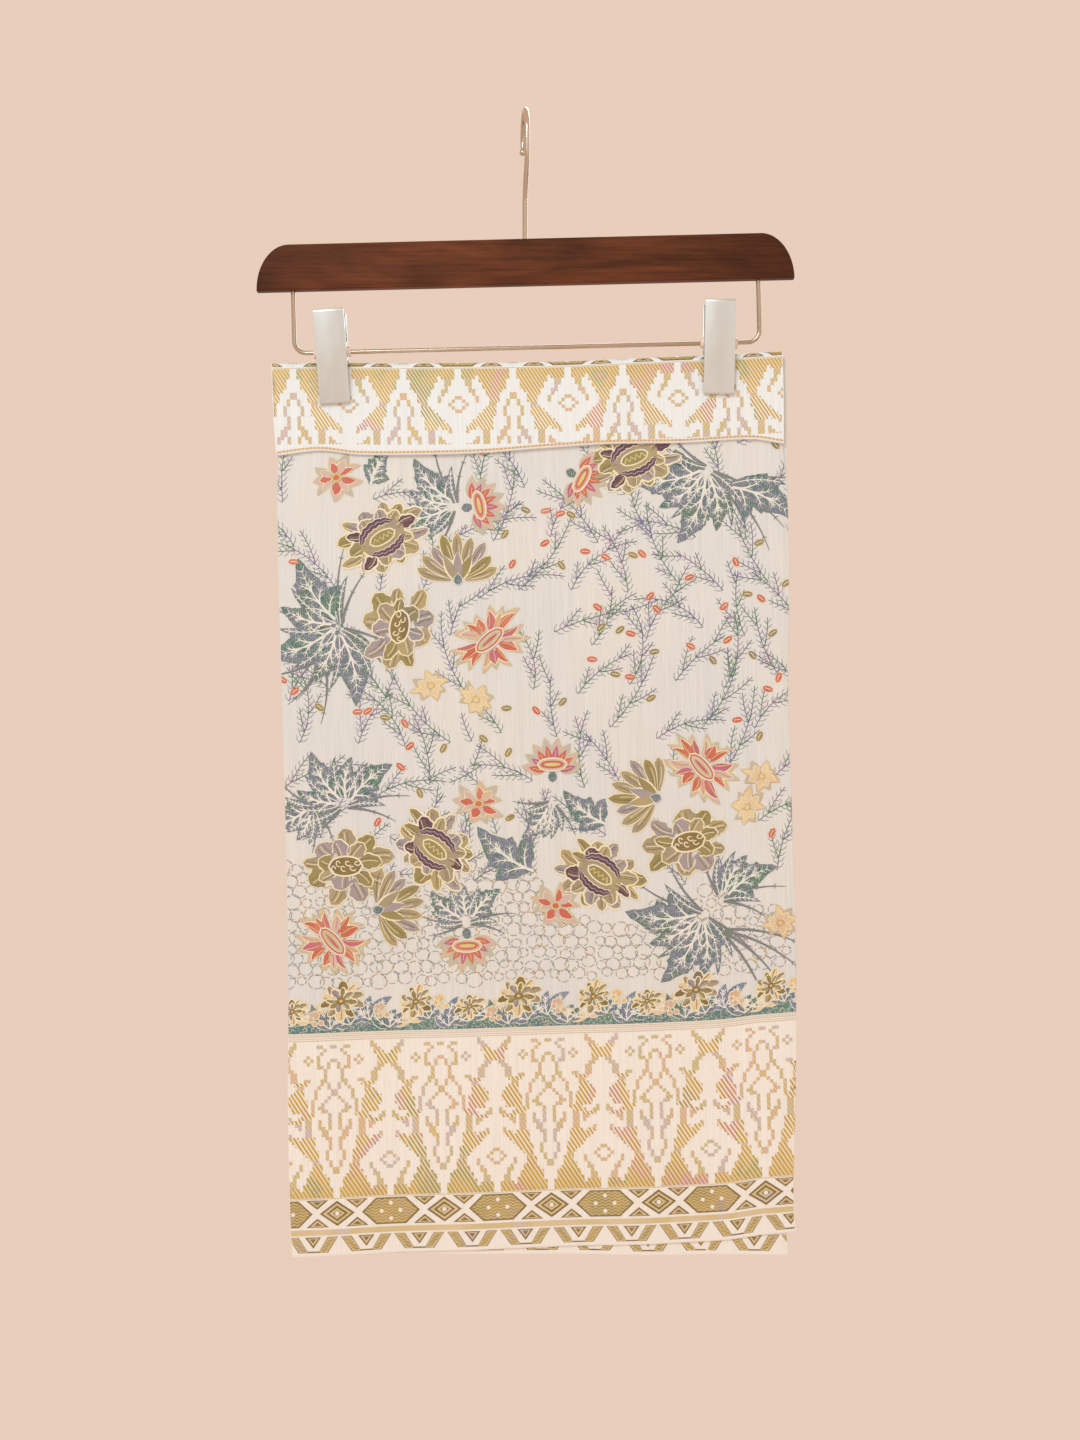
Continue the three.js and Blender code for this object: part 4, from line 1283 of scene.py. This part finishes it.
def field(art):
    taken = []

    def placed(rows, room):
        """Each flower of a kind, once its room is noted."""
        for u, b, degrees in rows:
            taken.append(((u, b), room))
            yield (u, b), math.radians(degrees)

    for centre, slant in placed(MAROON_PEONIES, 28):
        maroon_peony(art, centre, PEONY, slant)
    for centre, slant in placed(GOLD_PEONIES, 28):
        gold_peony(art, centre, PEONY, slant)
    for root, heading in placed(FANS, 22):
        fan(art, root, heading, FAN_REACH)
    for centre, slant in placed(DAISIES, 24):
        daisy(art, centre, DAISY, slant)
    for root, heading in placed(SIDE_DAISIES, 20):
        side_daisy(art, root, heading, SIDE_DAISY_REACH)
    for centre, slant in placed(SMALL_DAISIES, 18):
        small_flower(art, centre, SMALL_REACH, slant)
    for centre, slant in placed(SAND_FLOWERS, 13):
        small_flower(art, centre, SAND_REACH, slant, ("sand", "sand"), "gilt", 8)
    for u, b, heading, spread, reach, leaves, spikes in SPRAYS:
        heading, spread = math.radians(heading), math.radians(spread)
        spray(art, (u, b), heading, spread, reach, leaves, spikes)
        for i in range(leaves):
            turn = heading + spread * ((i + 0.5) / leaves - 0.5)
            taken.append((towards((u, b), turn, reach * 0.5), reach * 0.38))
    thicket(art, taken)


def ring_filler(art):
    """Fine broken rings of many pale tones that crowd between the lower flowers."""
    pitch = RINGS["pitch"]
    rows = int((RINGS["high"] - RINGS["low"]) / (pitch * 0.86)) + 1
    columns = int(2 * SIDE_REACH / pitch)
    draws = random.Random(5)
    for row in range(rows):
        for column in range(columns):
            u = -SIDE_REACH + (column + (0.5 if row % 2 else 0)) * pitch + draws.uniform(-2, 2)
            b = RINGS["low"] + row * pitch * 0.86 + draws.uniform(-1.6, 1.6)
            size, start = draws.uniform(3.0, 5.6), draws.random()
            reach_here = RINGS["high"] - 34 * smoothstep((u + 40) / 90) - 10 * math.sin(u / 23)
            if b > reach_here:
                continue
            for part in range(5):
                begin = start + part / 5
                art.turn("ring", RING_LAYER, (u, b), size, size * 0.9, 0.28, 0, 4, begin, begin + 0.15)
            art.oval("ring", RING_LAYER, (u + size * 0.8, b + size * 0.5), 0.8, 0.6, 0.6, 3)


# ---------------------------------------------------------------- the flower stripe
STRIPE_LOW, STRIPE_REPEAT, FIRST_STRIPE_FLOWER = 149.0, 119.0, -135.3


def flower_stripe(art):
    """A dark speckled ground with a curling top edge, and one bunch of small flowers for each repeat."""
    steps = 180
    low, high = [], []
    for i in range(steps + 1):
        u = lerp(-SIDE_REACH, SIDE_REACH, i / steps)
        turn = 2 * math.pi * (u - FIRST_STRIPE_FLOWER) / STRIPE_REPEAT
        rise = 12 + 3.6 * math.sin(turn + 2.2) + 1.8 * math.sin(3 * turn) + 1.2 * math.sin(7 * turn + 1)
        low.append((u, STRIPE_LOW))
        high.append((u, STRIPE_LOW + rise))
    art.strip("speckle", 0, [low, high])
    first = FIRST_STRIPE_FLOWER - STRIPE_REPEAT
    for n in range(5):
        stripe_bunch(art, first + n * STRIPE_REPEAT)


def leaflet(art, thread, root, heading, reach):
    path = spine(root, towards(root, heading, reach), 0.12, 8)
    art.patch("vein", LEAF_LAYER, path, 4.4, pointed)
    art.patch(thread, LEAF_LAYER + 1, path, 3.8, pointed)
    art.patch("vein", LEAF_LAYER + 2, path[:7], 0.4)
    for k in (2, 4, 5):
        for side in (1, -1):
            end = towards(path[k], way(path[k], path[k + 1]) + side * 0.6, 3.0)
            art.line("vein", LEAF_LAYER + 2, path[k], end, 0.32, steps=1)


def berries(art, centre, thread):
    for k in range(7):
        berry = towards(centre, 0.9 * k, 1.3 * k ** 0.8)
        art.oval("cream", LEAF_LAYER + 3, berry, 2.3, 2.1, 0.4, 6)
        art.oval(thread, LEAF_LAYER + 4, berry, 1.7, 1.5, 0.4, 6)
        art.oval("gilt", LEAF_LAYER + 5, berry, 0.7, 0.6, 0.4, 4)


def stripe_bunch(art, u):
    """Leaflets opened in threes along the stripe, with three gold flowers and berries among them."""
    for k in range(9):
        root = (u + STRIPE_REPEAT * k / 9 + 6, STRIPE_LOW + 5 + 3 * math.sin(2.1 * k))
        thread = ("leaf", "sky", "leaf", "sand")[k % 4]
        for i, degrees in enumerate((32, 84, 140)):
            heading = math.radians(degrees + 14 * math.sin(1.9 * k + i))
            leaflet(art, thread, root, heading, 17 + 4.5 * math.sin(1.3 * k + 2 * i))
    for along, up, reach, slant in ((0, 21, 15, 0.15), (50, 19, 12, 0.6), (86, 15, 10, 0.3)):
        gold_small(art, (u + along, STRIPE_LOW + up), reach, slant)
    for along, up, thread in ((27, 15, "blush"), (67, 20, "sand"), (102, 11, "blush")):
        berries(art, (u + along, STRIPE_LOW + up), thread)


def gold_small(art, centre, reach, slant):
    """A small flower of the stripe, in golds."""
    layer = LEAF_LAYER + 2
    size, vein = (reach, reach * 0.82), [("bark", 0.3, 0.25)]
    outer, inner = ["tan", "sand", "bark"], ["tan", "olive", "lilac"]
    petals(art, layer, centre, size, slant, 0.35, 1.0, 10, outer, "cream", ruffled, 0.2, vein, 0.6)
    petals(art, layer + 2, centre, size, slant, 0.15, 0.66, 8, inner, "cream", ruffled, 0.6, vein, 0.6)
    art.oval("bark", layer + 5, centre, reach * 0.2, reach * 0.15, slant, 6)
    art.oval("gilt", layer + 6, centre, reach * 0.1, reach * 0.07, slant, 4)


# ---------------------------------------------------------------- the border
# The stepped ground of gold, charted for half a repeat, from the axis of a tower to the axis of a
# lens, with the lowest row first.
BORDER_LOW, BORDER_HIGH = 39.0, 143.0
BORDER_CHART = [
    ".##############.",
    ".##############.",
    ".####.#########.",
    "..##..########..",
    "..##...#######..",
    "...#...#######..",
    "...##...#####...",
    "....#...####...#",
    "#....#...###...#",
    ".#...#...###..#.",
    "..#......##...#.",
    ".#......###..#..",
    "#......####..#..",
    "......#####..#..",
    ".....#####....#.",
    "....######....#.",
    "...#######....#.",
    "..###.####...##.",
    "..#....##...##..",
    ".......##...##..",
    ".....#.##..##.#.",
    "....##.##..#..#.",
    "..####.##..#..#.",
    ".##..####.....#.",
    ".#....####....#.",
    "...#####.#..##..",
    "...#####.#.##...",
    "..######.#..#...",
    "..######.#...#..",
    "..#####...#...#.",
    "...####...#....#",
    "....###...#....#",
    ".....##....#..#.",
    "....####....#.#.",
    "...##..##...##..",
    "...##........#..",
    "...##........#..",
    "..##.........#..",
    ".##........##.#.",
    "###.....#..#..#.",
    "###....#.#.#...#",
    "###.....#..#....",
    ".###........#...",
    "..##.........#..",
    "...##......##..#",
    "....#...........",
]
WIDE_RUN = 2  # a run of more steps than this is ground, and a shorter one an outline
DIAMOND_LOW, DIAMOND_HIGH = 19.2, 37.6
STRIP_LOW, STRIP_HIGH = 14.2, 17.8
CUP_LOW, CUP_HIGH, CUP_REPEAT, FIRST_CUP = 2.6, 13.0, 35.56, -157.8
TOWER_REPEAT = 71.8


def gold_runs(row):
    """Each run of gold in a row of the chart, as its first step and the step after its last."""
    runs, begin = [], None
    for i, mark in enumerate(row + "."):
        if mark == "#" and begin is None:
            begin = i
        elif mark == "." and begin is not None:
            runs.append((begin, i))
            begin = None
    return runs


def towers(art, first, repeat, top, gold):
    """The stepped gold ground of the deep border, up to a place top."""
    step = repeat / 2 / len(BORDER_CHART[0])
    rise = (BORDER_HIGH - BORDER_LOW) / len(BORDER_CHART)
    reach = SIDE_REACH + 3
    for n in range(-2, 7):
        axis = first + n * repeat
        for row, marks in enumerate(BORDER_CHART):
            low = BORDER_LOW + row * rise
            if low >= top:
                break
            for side in (1, -1):
                for near, far in gold_runs(marks):
                    thread = gold if far - near > WIDE_RUN else "outline"
                    left, right = sorted((axis + side * near * step, axis + side * far * step))
                    if left < reach and right > -reach:
                        art.block(thread, 0, left, right, low, min(low + rise, top))


def diamonds(art, first, repeat):
    """Between white lattice bars: waved six-sided panels, ringed diamonds and small triangles."""
    low, high = DIAMOND_LOW, DIAMOND_HIGH
    middle = (low + high) / 2
    half = (high - low) / 2 - 0.3
    art.band("twine", high + 0.5, high + 1.0)
    for n in range(-2, 6):
        axis = first + n * repeat
        for inset, thread, layer in ((0, "bark", 0), (0.9, "bronze", 1)):
            wide, flat, tall = 19.4 - inset * 1.8, 10 - inset * 0.6, half - inset
            rows = []
            for i in range(9):
                t = -1 + 2 * i / 8
                reach, b = lerp(wide, flat, abs(t)), middle + t * tall
                rows.append([(axis - reach, b), (axis, b), (axis + reach, b)])
            art.strip(thread, layer, rows)
        for du, db in ((6.3, 0), (-6.3, 0), (0, 5.2), (0, -5.2)):
            art.oval("white", 2, (axis + du, middle + db), 1.5, 1.35, 0, 4)
        centre = axis + repeat / 2
        for k, thread in enumerate(("bark", "twine", "bark", "twine", "bark")):
            a, b = 11.7 - 2.2 * k, 8.4 - 1.58 * k
            corners = [(centre, middle - b), (centre + a, middle), (centre, middle + b), (centre - a, middle)]
            art.shape(thread, k, corners)
        art.oval("white", 5, (centre, middle), 1.7, 1.5, 0, 4)
        for side in (1, -1):
            for up in (1, -1):
                crossing = axis + side * 22.6
                nested_triangles(art, crossing, middle + up * (half + 0.1), (7.4, 2.3), (6.0, 1.9), -up, 0.55)


def nested_triangles(art, u, base, widths, heights, up, inset):
    """Three triangles from a base, each a step smaller than the one before. up is -1 where they hang."""
    for k, thread in enumerate(("bark", "twine", "bark")):
        wide, tall = widths[0] - widths[1] * k, heights[0] - heights[1] * k
        b = base + up * inset * k
        tip = (u, b + up * tall)
        art.shape(thread, k, [(u - wide, b), (u + wide, b), tip, tip])


def cups(art, first):
    """Slanting bars that meet at the foot round a small hanging triangle, under a narrow gold strip."""
    low, high = CUP_LOW, CUP_HIGH
    art.band("twine", STRIP_LOW, STRIP_HIGH)
    for n in range(-1, 11):
        axis = first + n * CUP_REPEAT
        for side in (1, -1):
            for inset, thread, layer in ((0, "bark", 0), (0.6, "twine", 1), (1.5, "bronze", 2)):
                outer_top, outer_low = 16.8 - inset, 9.8 - inset
                inner_top, inner_low = 9.8 + inset, 3.4 + inset * 0.8
                lower, upper = low + inset * 0.5, high - inset * 0.4
                rows = [
                    [(axis + side * outer_low, lower), (axis + side * inner_low, lower)],
                    [(axis + side * outer_top, upper), (axis + side * inner_top, upper)],
                ]
                art.strip(thread, layer, rows)
        art.block("bark", 0, axis - 8, axis + 8, low, low + 0.9)
        nested_triangles(art, axis, high - 0.1, (5.4, 1.7), (7.4, 2.3), -1, 0.6)


def border(art, first, repeat, top=BORDER_HIGH, gold="gold"):
    towers(art, first, repeat, top, gold)
    diamonds(art, first, repeat)
    cups(art, FIRST_CUP)


def border_lines(art):
    """The fine lines between the border and the stripe."""
    for b, wide, thread in (
        (143.6, 0.5, "twine"), (145.0, 0.35, "blush"), (146.4, 0.5, "twine"), (147.7, 0.3, "gilt"),
    ):
        art.band(thread, b, b + wide)


def whole_pattern(art, first_tower):
    """All that one side of the cloth shows, from its field down to its selvage."""
    field(art)
    ring_filler(art)
    flower_stripe(art)
    border(art, first_tower, TOWER_REPEAT)
    border_lines(art)
    return art


# ---------------------------------------------------------------- threads onto the cloth
THREAD_LIFT, LAYER_LIFT = 0.1, 0.042  # off the cloth for a first layer, and more for each after it
SLIVER = 0.02  # a face narrower than this is left out


def weave_in(art, face, name, looks, lowest, highest):
    """One piece for each thread, its patches split finely enough to follow the cloth."""
    pieces = []
    for thread in sorted(art.quads):
        points, places, faces, known = [], [], [], {}

        def corner(place, layer):
            key = (round(place[0], 2), round(place[1], 2), layer)
            if key not in known:
                known[key] = len(points)
                points.append(face.lay(place[0], place[1], THREAD_LIFT + LAYER_LIFT * layer))
                places.append(place)
            return known[key]

        for layer, quad in art.quads[thread]:
            if not lowest < sum(p[1] for p in quad) / 4 < highest:
                continue
            quad = [(u, min(max(b, lowest), highest)) for u, b in quad]
            along = max(apart(quad[0], quad[1]), apart(quad[3], quad[2]))
            aside = max(apart(quad[0], quad[3]), apart(quad[1], quad[2]))
            facet = face.facet(quad[0][1])
            n, m = max(1, math.ceil(along / facet)), max(1, math.ceil(aside / facet))

            def inside(i, j):
                s, t = i / n, j / m
                return tuple(
                    lerp(lerp(quad[0][k], quad[1][k], s), lerp(quad[3][k], quad[2][k], s), t) for k in (0, 1)
                )

            grid = [[corner(inside(i, j), layer) for i in range(n + 1)] for j in range(m + 1)]
            for j in range(m):
                for i in range(n):
                    ring = [grid[j][i], grid[j][i + 1], grid[j + 1][i + 1], grid[j + 1][i]]
                    ring = [v for k, v in enumerate(ring) if v != ring[k - 1]]
                    if len(set(ring)) < 3:
                        continue
                    x_span, y_span, z_span = (max(c) - min(c) for c in zip(*[points[v] for v in ring]))
                    if min(x_span, y_span + z_span) >= SLIVER:
                        faces.append(tuple(ring))
        if not faces:
            continue
        used = sorted({v for ring in faces for v in ring})
        order = {v: i for i, v in enumerate(used)}
        faces = [tuple(order[v] for v in ring) for ring in faces]
        pieces.append(make(
            f"{name}_{thread}", [points[v] for v in used], faces, looks[thread], "brocade",
            uvs=[places[v] for v in used],
        ))
    return pieces


def thread_look(name, tones, hatch=None, amount=0.5, pale="f0e7dc", metallic=0.0, patch=0.045):
    """Tones run into each other in soft patches. hatch is (period, degrees, waviness) of fine pale lines."""
    look = Look("thread_" + name, Metallic=metallic, Roughness=0.5, Sheen_Weight=0.15, Sheen_Roughness=0.4)
    uv = look.uv()
    tones = tones.split()
    drift = look.noise(uv, (patch, patch * 0.7, 1), 2.0)
    colour = look.ramp(drift, *[(0.3 + 0.4 * i / (len(tones) - 1), tone) for i, tone in enumerate(tones)])
    grain = look.noise(uv, (1.6, 2.4, 1), 2.0, 0.6)
    height = grain
    if hatch:
        period, degrees, waviness = hatch
        turned_uv = look.scaled(uv, (1 / period, 1 / period, 1), math.radians(degrees))
        line = look.part(turned_uv, "X")
        if waviness:
            swing = look.math("SINE", look.math("MULTIPLY", look.part(turned_uv, "Y"), 2 * math.pi / 2.2))
            line = look.math("MULTIPLY_ADD", swing, waviness, line)
        wave = look.wave(line)
        colour = look.mix(look.ramp(wave, (0.38, 0.0), (0.72, amount)), colour, pale)
        height = look.mix(0.6, grain, wave)
    colour = look.mix(0.18, colour, look.ramp(grain, (0.3, 0.55), (0.7, 1.35)), "MULTIPLY")
    look.set(look.shader, Base_Color=colour)
    look.bump(height, 0.25, 0.0002)
    return look.material


def dotted_look(name, tones):
    """Leaf thread: soft patches of several tones under rows of fine pale dots."""
    look = Look("thread_" + name, Roughness=0.55, Sheen_Weight=0.15, Sheen_Roughness=0.4)
    uv = look.uv()
    tones = tones.split()
    drift = look.noise(uv, (0.05, 0.04, 1), 3.0, 0.6)
    colour = look.ramp(drift, *[(0.28 + 0.44 * i / (len(tones) - 1), tone) for i, tone in enumerate(tones)])
    cells = look.node("TexVoronoi", Vector=look.scaled(uv, (0.8, 1.15, 1)), Scale=1.0, Randomness=0.35)
    dots = look.ramp(cells.outputs["Distance"], (0.16, 0.75), (0.34, 0.0))
    look.set(look.shader, Base_Color=look.mix(dots, colour, "e6e4dc"))
    look.bump(cells.outputs["Distance"], 0.3, 0.0002)
    return look.material


def gold_look(name, period, slant_degrees, pale):
    """The border's gold: steep lines of many tones on ivory, closer at the foot."""
    look = Look(name, Roughness=0.4, Metallic=0.1, Sheen_Weight=0.2)
    uv = look.uv()
    drift = look.noise(uv, (0.024, 0.016, 1), 3.0, 0.6, 0.6)
    colour = look.ramp(
        drift, (0.3, "a898ad"), (0.37, "cd9079"), (0.44, "c39f27"), (0.54, "cda838"),
        (0.6, "a19a3b"), (0.66, "d2946a"), (0.74, "9da4a2"),
    )
    turned_uv = look.scaled(uv, (1 / period, 1 / period, 1), math.radians(slant_degrees))
    wave = look.wave(look.part(turned_uv, "X"))
    height = look.math("DIVIDE", look.part(uv, "Y"), 200.0)
    foot = look.ramp(height, (0.2, 0.5), (0.34, 0.85), (0.7, 0.9))
    share = look.math("MULTIPLY", look.ramp(wave, (0.36, 0.0), (0.6, 1.0)), foot)
    look.set(look.shader, Base_Color=look.mix(share, colour, pale))
    look.bump(wave, 0.35, 0.0002)
    return look.material


def speckle_look():
    """The ground of the flower stripe: blue and green, full of dots in four pale tones."""
    look = Look("thread_speckle", Roughness=0.55)
    uv = look.uv()
    cells = look.node("TexVoronoi", Vector=look.scaled(uv, (0.9, 0.9, 1)), Scale=1.0, Randomness=1.0)
    dark = look.ramp(look.noise(uv, (0.06, 0.1, 1)), (0.35, "5b7a85"), (0.65, "5a8a7c"))
    pick = look.part(cells.outputs["Color"], "X")
    dots = look.ramp(pick, (0.1, "d3c07c"), (0.35, "e2e4df"), (0.6, "cf9c9c"), (0.85, "9ac0b6"))
    near = look.ramp(cells.outputs["Distance"], (0.3, 0.9), (0.5, 0.0))
    look.set(look.shader, Base_Color=look.mix(near, dark, dots))
    look.bump(cells.outputs["Distance"], 0.3, 0.0002)
    return look.material


# For each thread its tones and, where it is hatched, the lines with how strong they are and their tone.
THREADS = {
    "vein": ["efebe2 e6e9e0 efe6e8"],
    "sprig": ["4f7464 776e9a 4f825d 8f709c 52757b"],
    "cream": ["f3ecd6 f0e6bd f1e9d8"],
    "white": ["f6f1e8 f1ebe2"],
    "rim": ["ece0c0 efe3d4"],
    "straw": ["d9c766 dccf8f d8c27a"],
    "stem": ["52655d 656b79 476254", (1.2, 80, 0), 0.3],
    "sand": ["dcc180 e3cb92 d9b57a", (1.3, 20, 0.2), 0.6],
    "lilac": ["897b87 968990 7e7a84", (1.2, 62, 0.15), 0.35],
    "copper": ["cf9a4c d6a65c c98f50", (2.6, 0, 0), 0.5],
    "twine": ["d8c078 d9bf98 cdb86a c9b9bc", (1.2, -45, 0), 0.45],
    "blush": ["d3ae98 c9afaa d6b384", (1.4, 40, 0), 0.4],
    "haze": ["aeaba1 bab1aa b2b592", (1.3, 40, 0), 0.4],
    "tan": ["a69570 998c78 b09d68 9b8f94", (1.25, 62, 0.18), 0.28, "d9cfae"],
    "olive": ["8a7e50 93844a 7f7a5f", (1.3, 70, 0.2), 0.3, "cfc290"],
    "bark": ["7d6736 87703c 746130 7e6c70", (1.5, 88, 0.2), 0.25, "c7b37c"],
    "bronze": ["a98e4a 9c8a56 b6985a 978a92", (2.0, 90, 0.28), 0.6, "e3d39c"],
    "maroon": ["4a2238 57304a 3f2433", (1.5, 70, 0.2), 0.3, "a98a9a"],
    "coral": ["cc5f50 c55240 d07a63", (1.3, 50, 0), 0.25, "f3c9ae"],
    "pink": ["c04c68 b85a7f ca6866", (1.3, 50, 0), 0.25, "f0c3c0"],
}


def thread_looks():
    looks = {name: thread_look(name, *settings) for name, settings in THREADS.items()}
    outline_tones = "cfb562 d8b494 c8b876 c8b6bc d3b968"
    looks["outline"] = thread_look("outline", outline_tones, (2.0, -32, 0), 0.35, patch=0.03)
    looks["ring"] = thread_look("ring", "b9a45a bd9684 93a68c aa9cae c4a662", patch=0.11)
    looks["gilt"] = thread_look("gilt", "dcb95c e0c277 dba873", metallic=0.1)
    looks["gold"] = gold_look("thread_gold", 2.4, -32, "f4f0e8")
    looks["gold_waist"] = gold_look("thread_gold_waist", 2.0, 32, "f4f5f4")
    looks["speckle"] = speckle_look()
    looks["leaf"] = dotted_look("leaf", "5d6d6c 5f7a6d 767c90 4f736f 648a70")
    looks["sky"] = dotted_look("sky", "4f7688 7d86a0 486d74")
    return looks


# ---------------------------------------------------------------- the stage
def stage():
    bpy.context.scene.view_settings.view_transform = "Standard"
    camera = bpy.data.cameras.new("camera")
    camera.lens = 67.1
    camera.sensor_width = 36
    holder = bpy.data.objects.new("camera", camera)
    holder.location = (0.01006, -1.8, -0.4072)
    holder.rotation_euler = (math.radians(90), 0, 0)
    bpy.context.scene.collection.objects.link(holder)
    bpy.context.scene.camera = holder

    world = bpy.data.worlds.new("studio")
    world.use_nodes = True
    world.node_tree.nodes["Background"].inputs["Color"].default_value = rgb("f3d8c4")
    world.node_tree.nodes["Background"].inputs["Strength"].default_value = 0.9
    bpy.context.scene.world = world

    floor_mesh = bpy.data.meshes.new("floor")
    reach, low = 1.5, -1.3
    corners = [(x * reach, y * reach, low) for x, y in ((-1, -1), (1, -1), (1, 1), (-1, 1))]
    floor_mesh.from_pydata(corners, [], [(0, 1, 2, 3)])
    look = Look("floor_pale", Roughness=0.7)
    speckle = look.noise(look.place(), (40, 40, 40))
    look.set(look.shader, Base_Color=look.ramp(speckle, (0.3, "ead6ca"), (0.7, "efddd2")))
    floor_mesh.materials.append(look.material)
    floor = bpy.data.objects.new("floor", floor_mesh)
    bpy.context.scene.collection.objects.link(floor)

    aim = (0, 0, -0.4)
    for name, place, size, power in (
        ("key", (-0.7, -1.9, 0.9), 0.9, 21),
        ("fill", (1.3, -1.7, -0.1), 1.4, 3),
        ("rim_back", (0.6, 1.9, 0.8), 1.4, 22),
    ):
        data = bpy.data.lights.new(name, "AREA")
        data.size = size
        data.energy = power
        data.color = (0.72, 0.92, 1.0)
        light = bpy.data.objects.new(name, data)
        light.location = place
        light.rotation_euler = (Vector(aim) - Vector(place)).to_track_quat("-Z", "Y").to_euler()
        bpy.context.scene.collection.objects.link(light)


# ---------------------------------------------------------------- everything in its place
stage()
satin = metal("clip_satin", "d6d9d8", "e2e5e3", 0.42, (260, 260, 40))
nickel = metal("wire_nickel", "b9a694", "d2c4b4", 0.2, (200, 200, 200))
cream = plastic()
ivory = ground("brocade_ground", ("f1eee8", "e4dfd6", "fbf9f5"))
cool_ivory = ground("brocade_waist", ("e9f1f4", "dfe4e4", "f5fafc"))

bar_piece(wood())
hook_piece(nickel)
rod_piece(nickel)
for side in CLIPS:
    clip_pieces(side, satin, nickel, cream)

front = Panel(FRONT_SIDES, FRONT_HEM, front_depth, -1)
back = Panel(BACK_SIDES, BACK_HEM, back_depth, 1)
flap = Flap()
inner_faces = [Panel(INNER_SIDES, INNER_HEM, inner_depth(layer), -1) for layer in range(LAYERS)]

PANEL_TOP, INNER_TOP = 593.0, 588.0  # b where the layers end, up under the waist
front_shell = panel_shell(front, PANEL_WALL, panel_heights(PANEL_TOP))
back_shell = panel_shell(back, PANEL_WALL, panel_heights(PANEL_TOP))
front_cloth = cloth_piece("cloth_front", front_shell, ivory, "front_panel")
back_cloth = cloth_piece("cloth_back", back_shell, ivory, "back_panel")
flap_cloth = cloth_piece("cloth_waist", flap_shell(flap), cool_ivory, "waist_flap")

INNER_SHEET, INNER_SPACING = 0.42, 12.0
INNER_EDGES = [(0.0, 0.0), (0.9, -1.1), (0.2, -0.4), (1.0, -0.9)]  # how far each layer's sides are shifted
TERRACE = 1.6  # each layer's selvage above the one before it
shells = []
stack_places = []
for layer, panel in enumerate(inner_faces):
    heights = [b + layer * TERRACE for b in panel_heights(INNER_TOP)]
    points, faces, places = panel_shell(panel, INNER_SHEET, heights, INNER_EDGES[layer], INNER_SPACING)
    shells.append((points, faces))
    stack_places += places
inner_cloth = cloth_piece("cloth_inner", (*joined(*shells), stack_places), ivory, "inner_layers")

# The first tower's axis on each face, and how far apart the waist's stand.
FRONT_TOWER, BACK_TOWER, WAIST_TOWER, WAIST_REPEAT = -105.3, -98.0, -120.3, 73.5
INNER_CUP, BACK_SHIFT = -4.8, 4.0
# b where the threads begin and end on each face. The last two end a little way up under the waist.
LOWEST_THREAD, WAIST_LOWEST, INNER_HIGHEST, FRONT_HIGHEST, BACK_HIGHEST = 0.6, 1.0, 30.0, 545.0, 578.0
looks = thread_looks()

front_art = whole_pattern(Art(), FRONT_TOWER)
front_threads = weave_in(front_art, front, "front", looks, LOWEST_THREAD, FRONT_HIGHEST)

fold_places = [lerp(-SIDE_REACH, SIDE_REACH, i / FLAP_COLUMNS) for i in range(FLAP_COLUMNS + 1)]
fold_lows = [flap.lowest(u) for u in fold_places]
flap_art = Art()
border(flap_art, WAIST_TOWER, WAIST_REPEAT, min(fold_lows) - 1.4, "gold_waist")
copper_edges = [[(u, low - off) for u, low in zip(fold_places, fold_lows)] for off in (1.7, 0.5)]
flap_art.strip("copper", 1, copper_edges)
flap_threads = weave_in(flap_art, flap, "waist", looks, WAIST_LOWEST, max(fold_lows))

inner_art = Art()
cups(inner_art, INNER_CUP)
inner_threads = weave_in(inner_art, inner_faces[0], "inner", looks, LOWEST_THREAD, INNER_HIGHEST)

back_art = whole_pattern(Art(mirrored=True, shift=BACK_SHIFT), BACK_TOWER)
back_threads = weave_in(back_art, back, "back", looks, LOWEST_THREAD, BACK_HIGHEST)
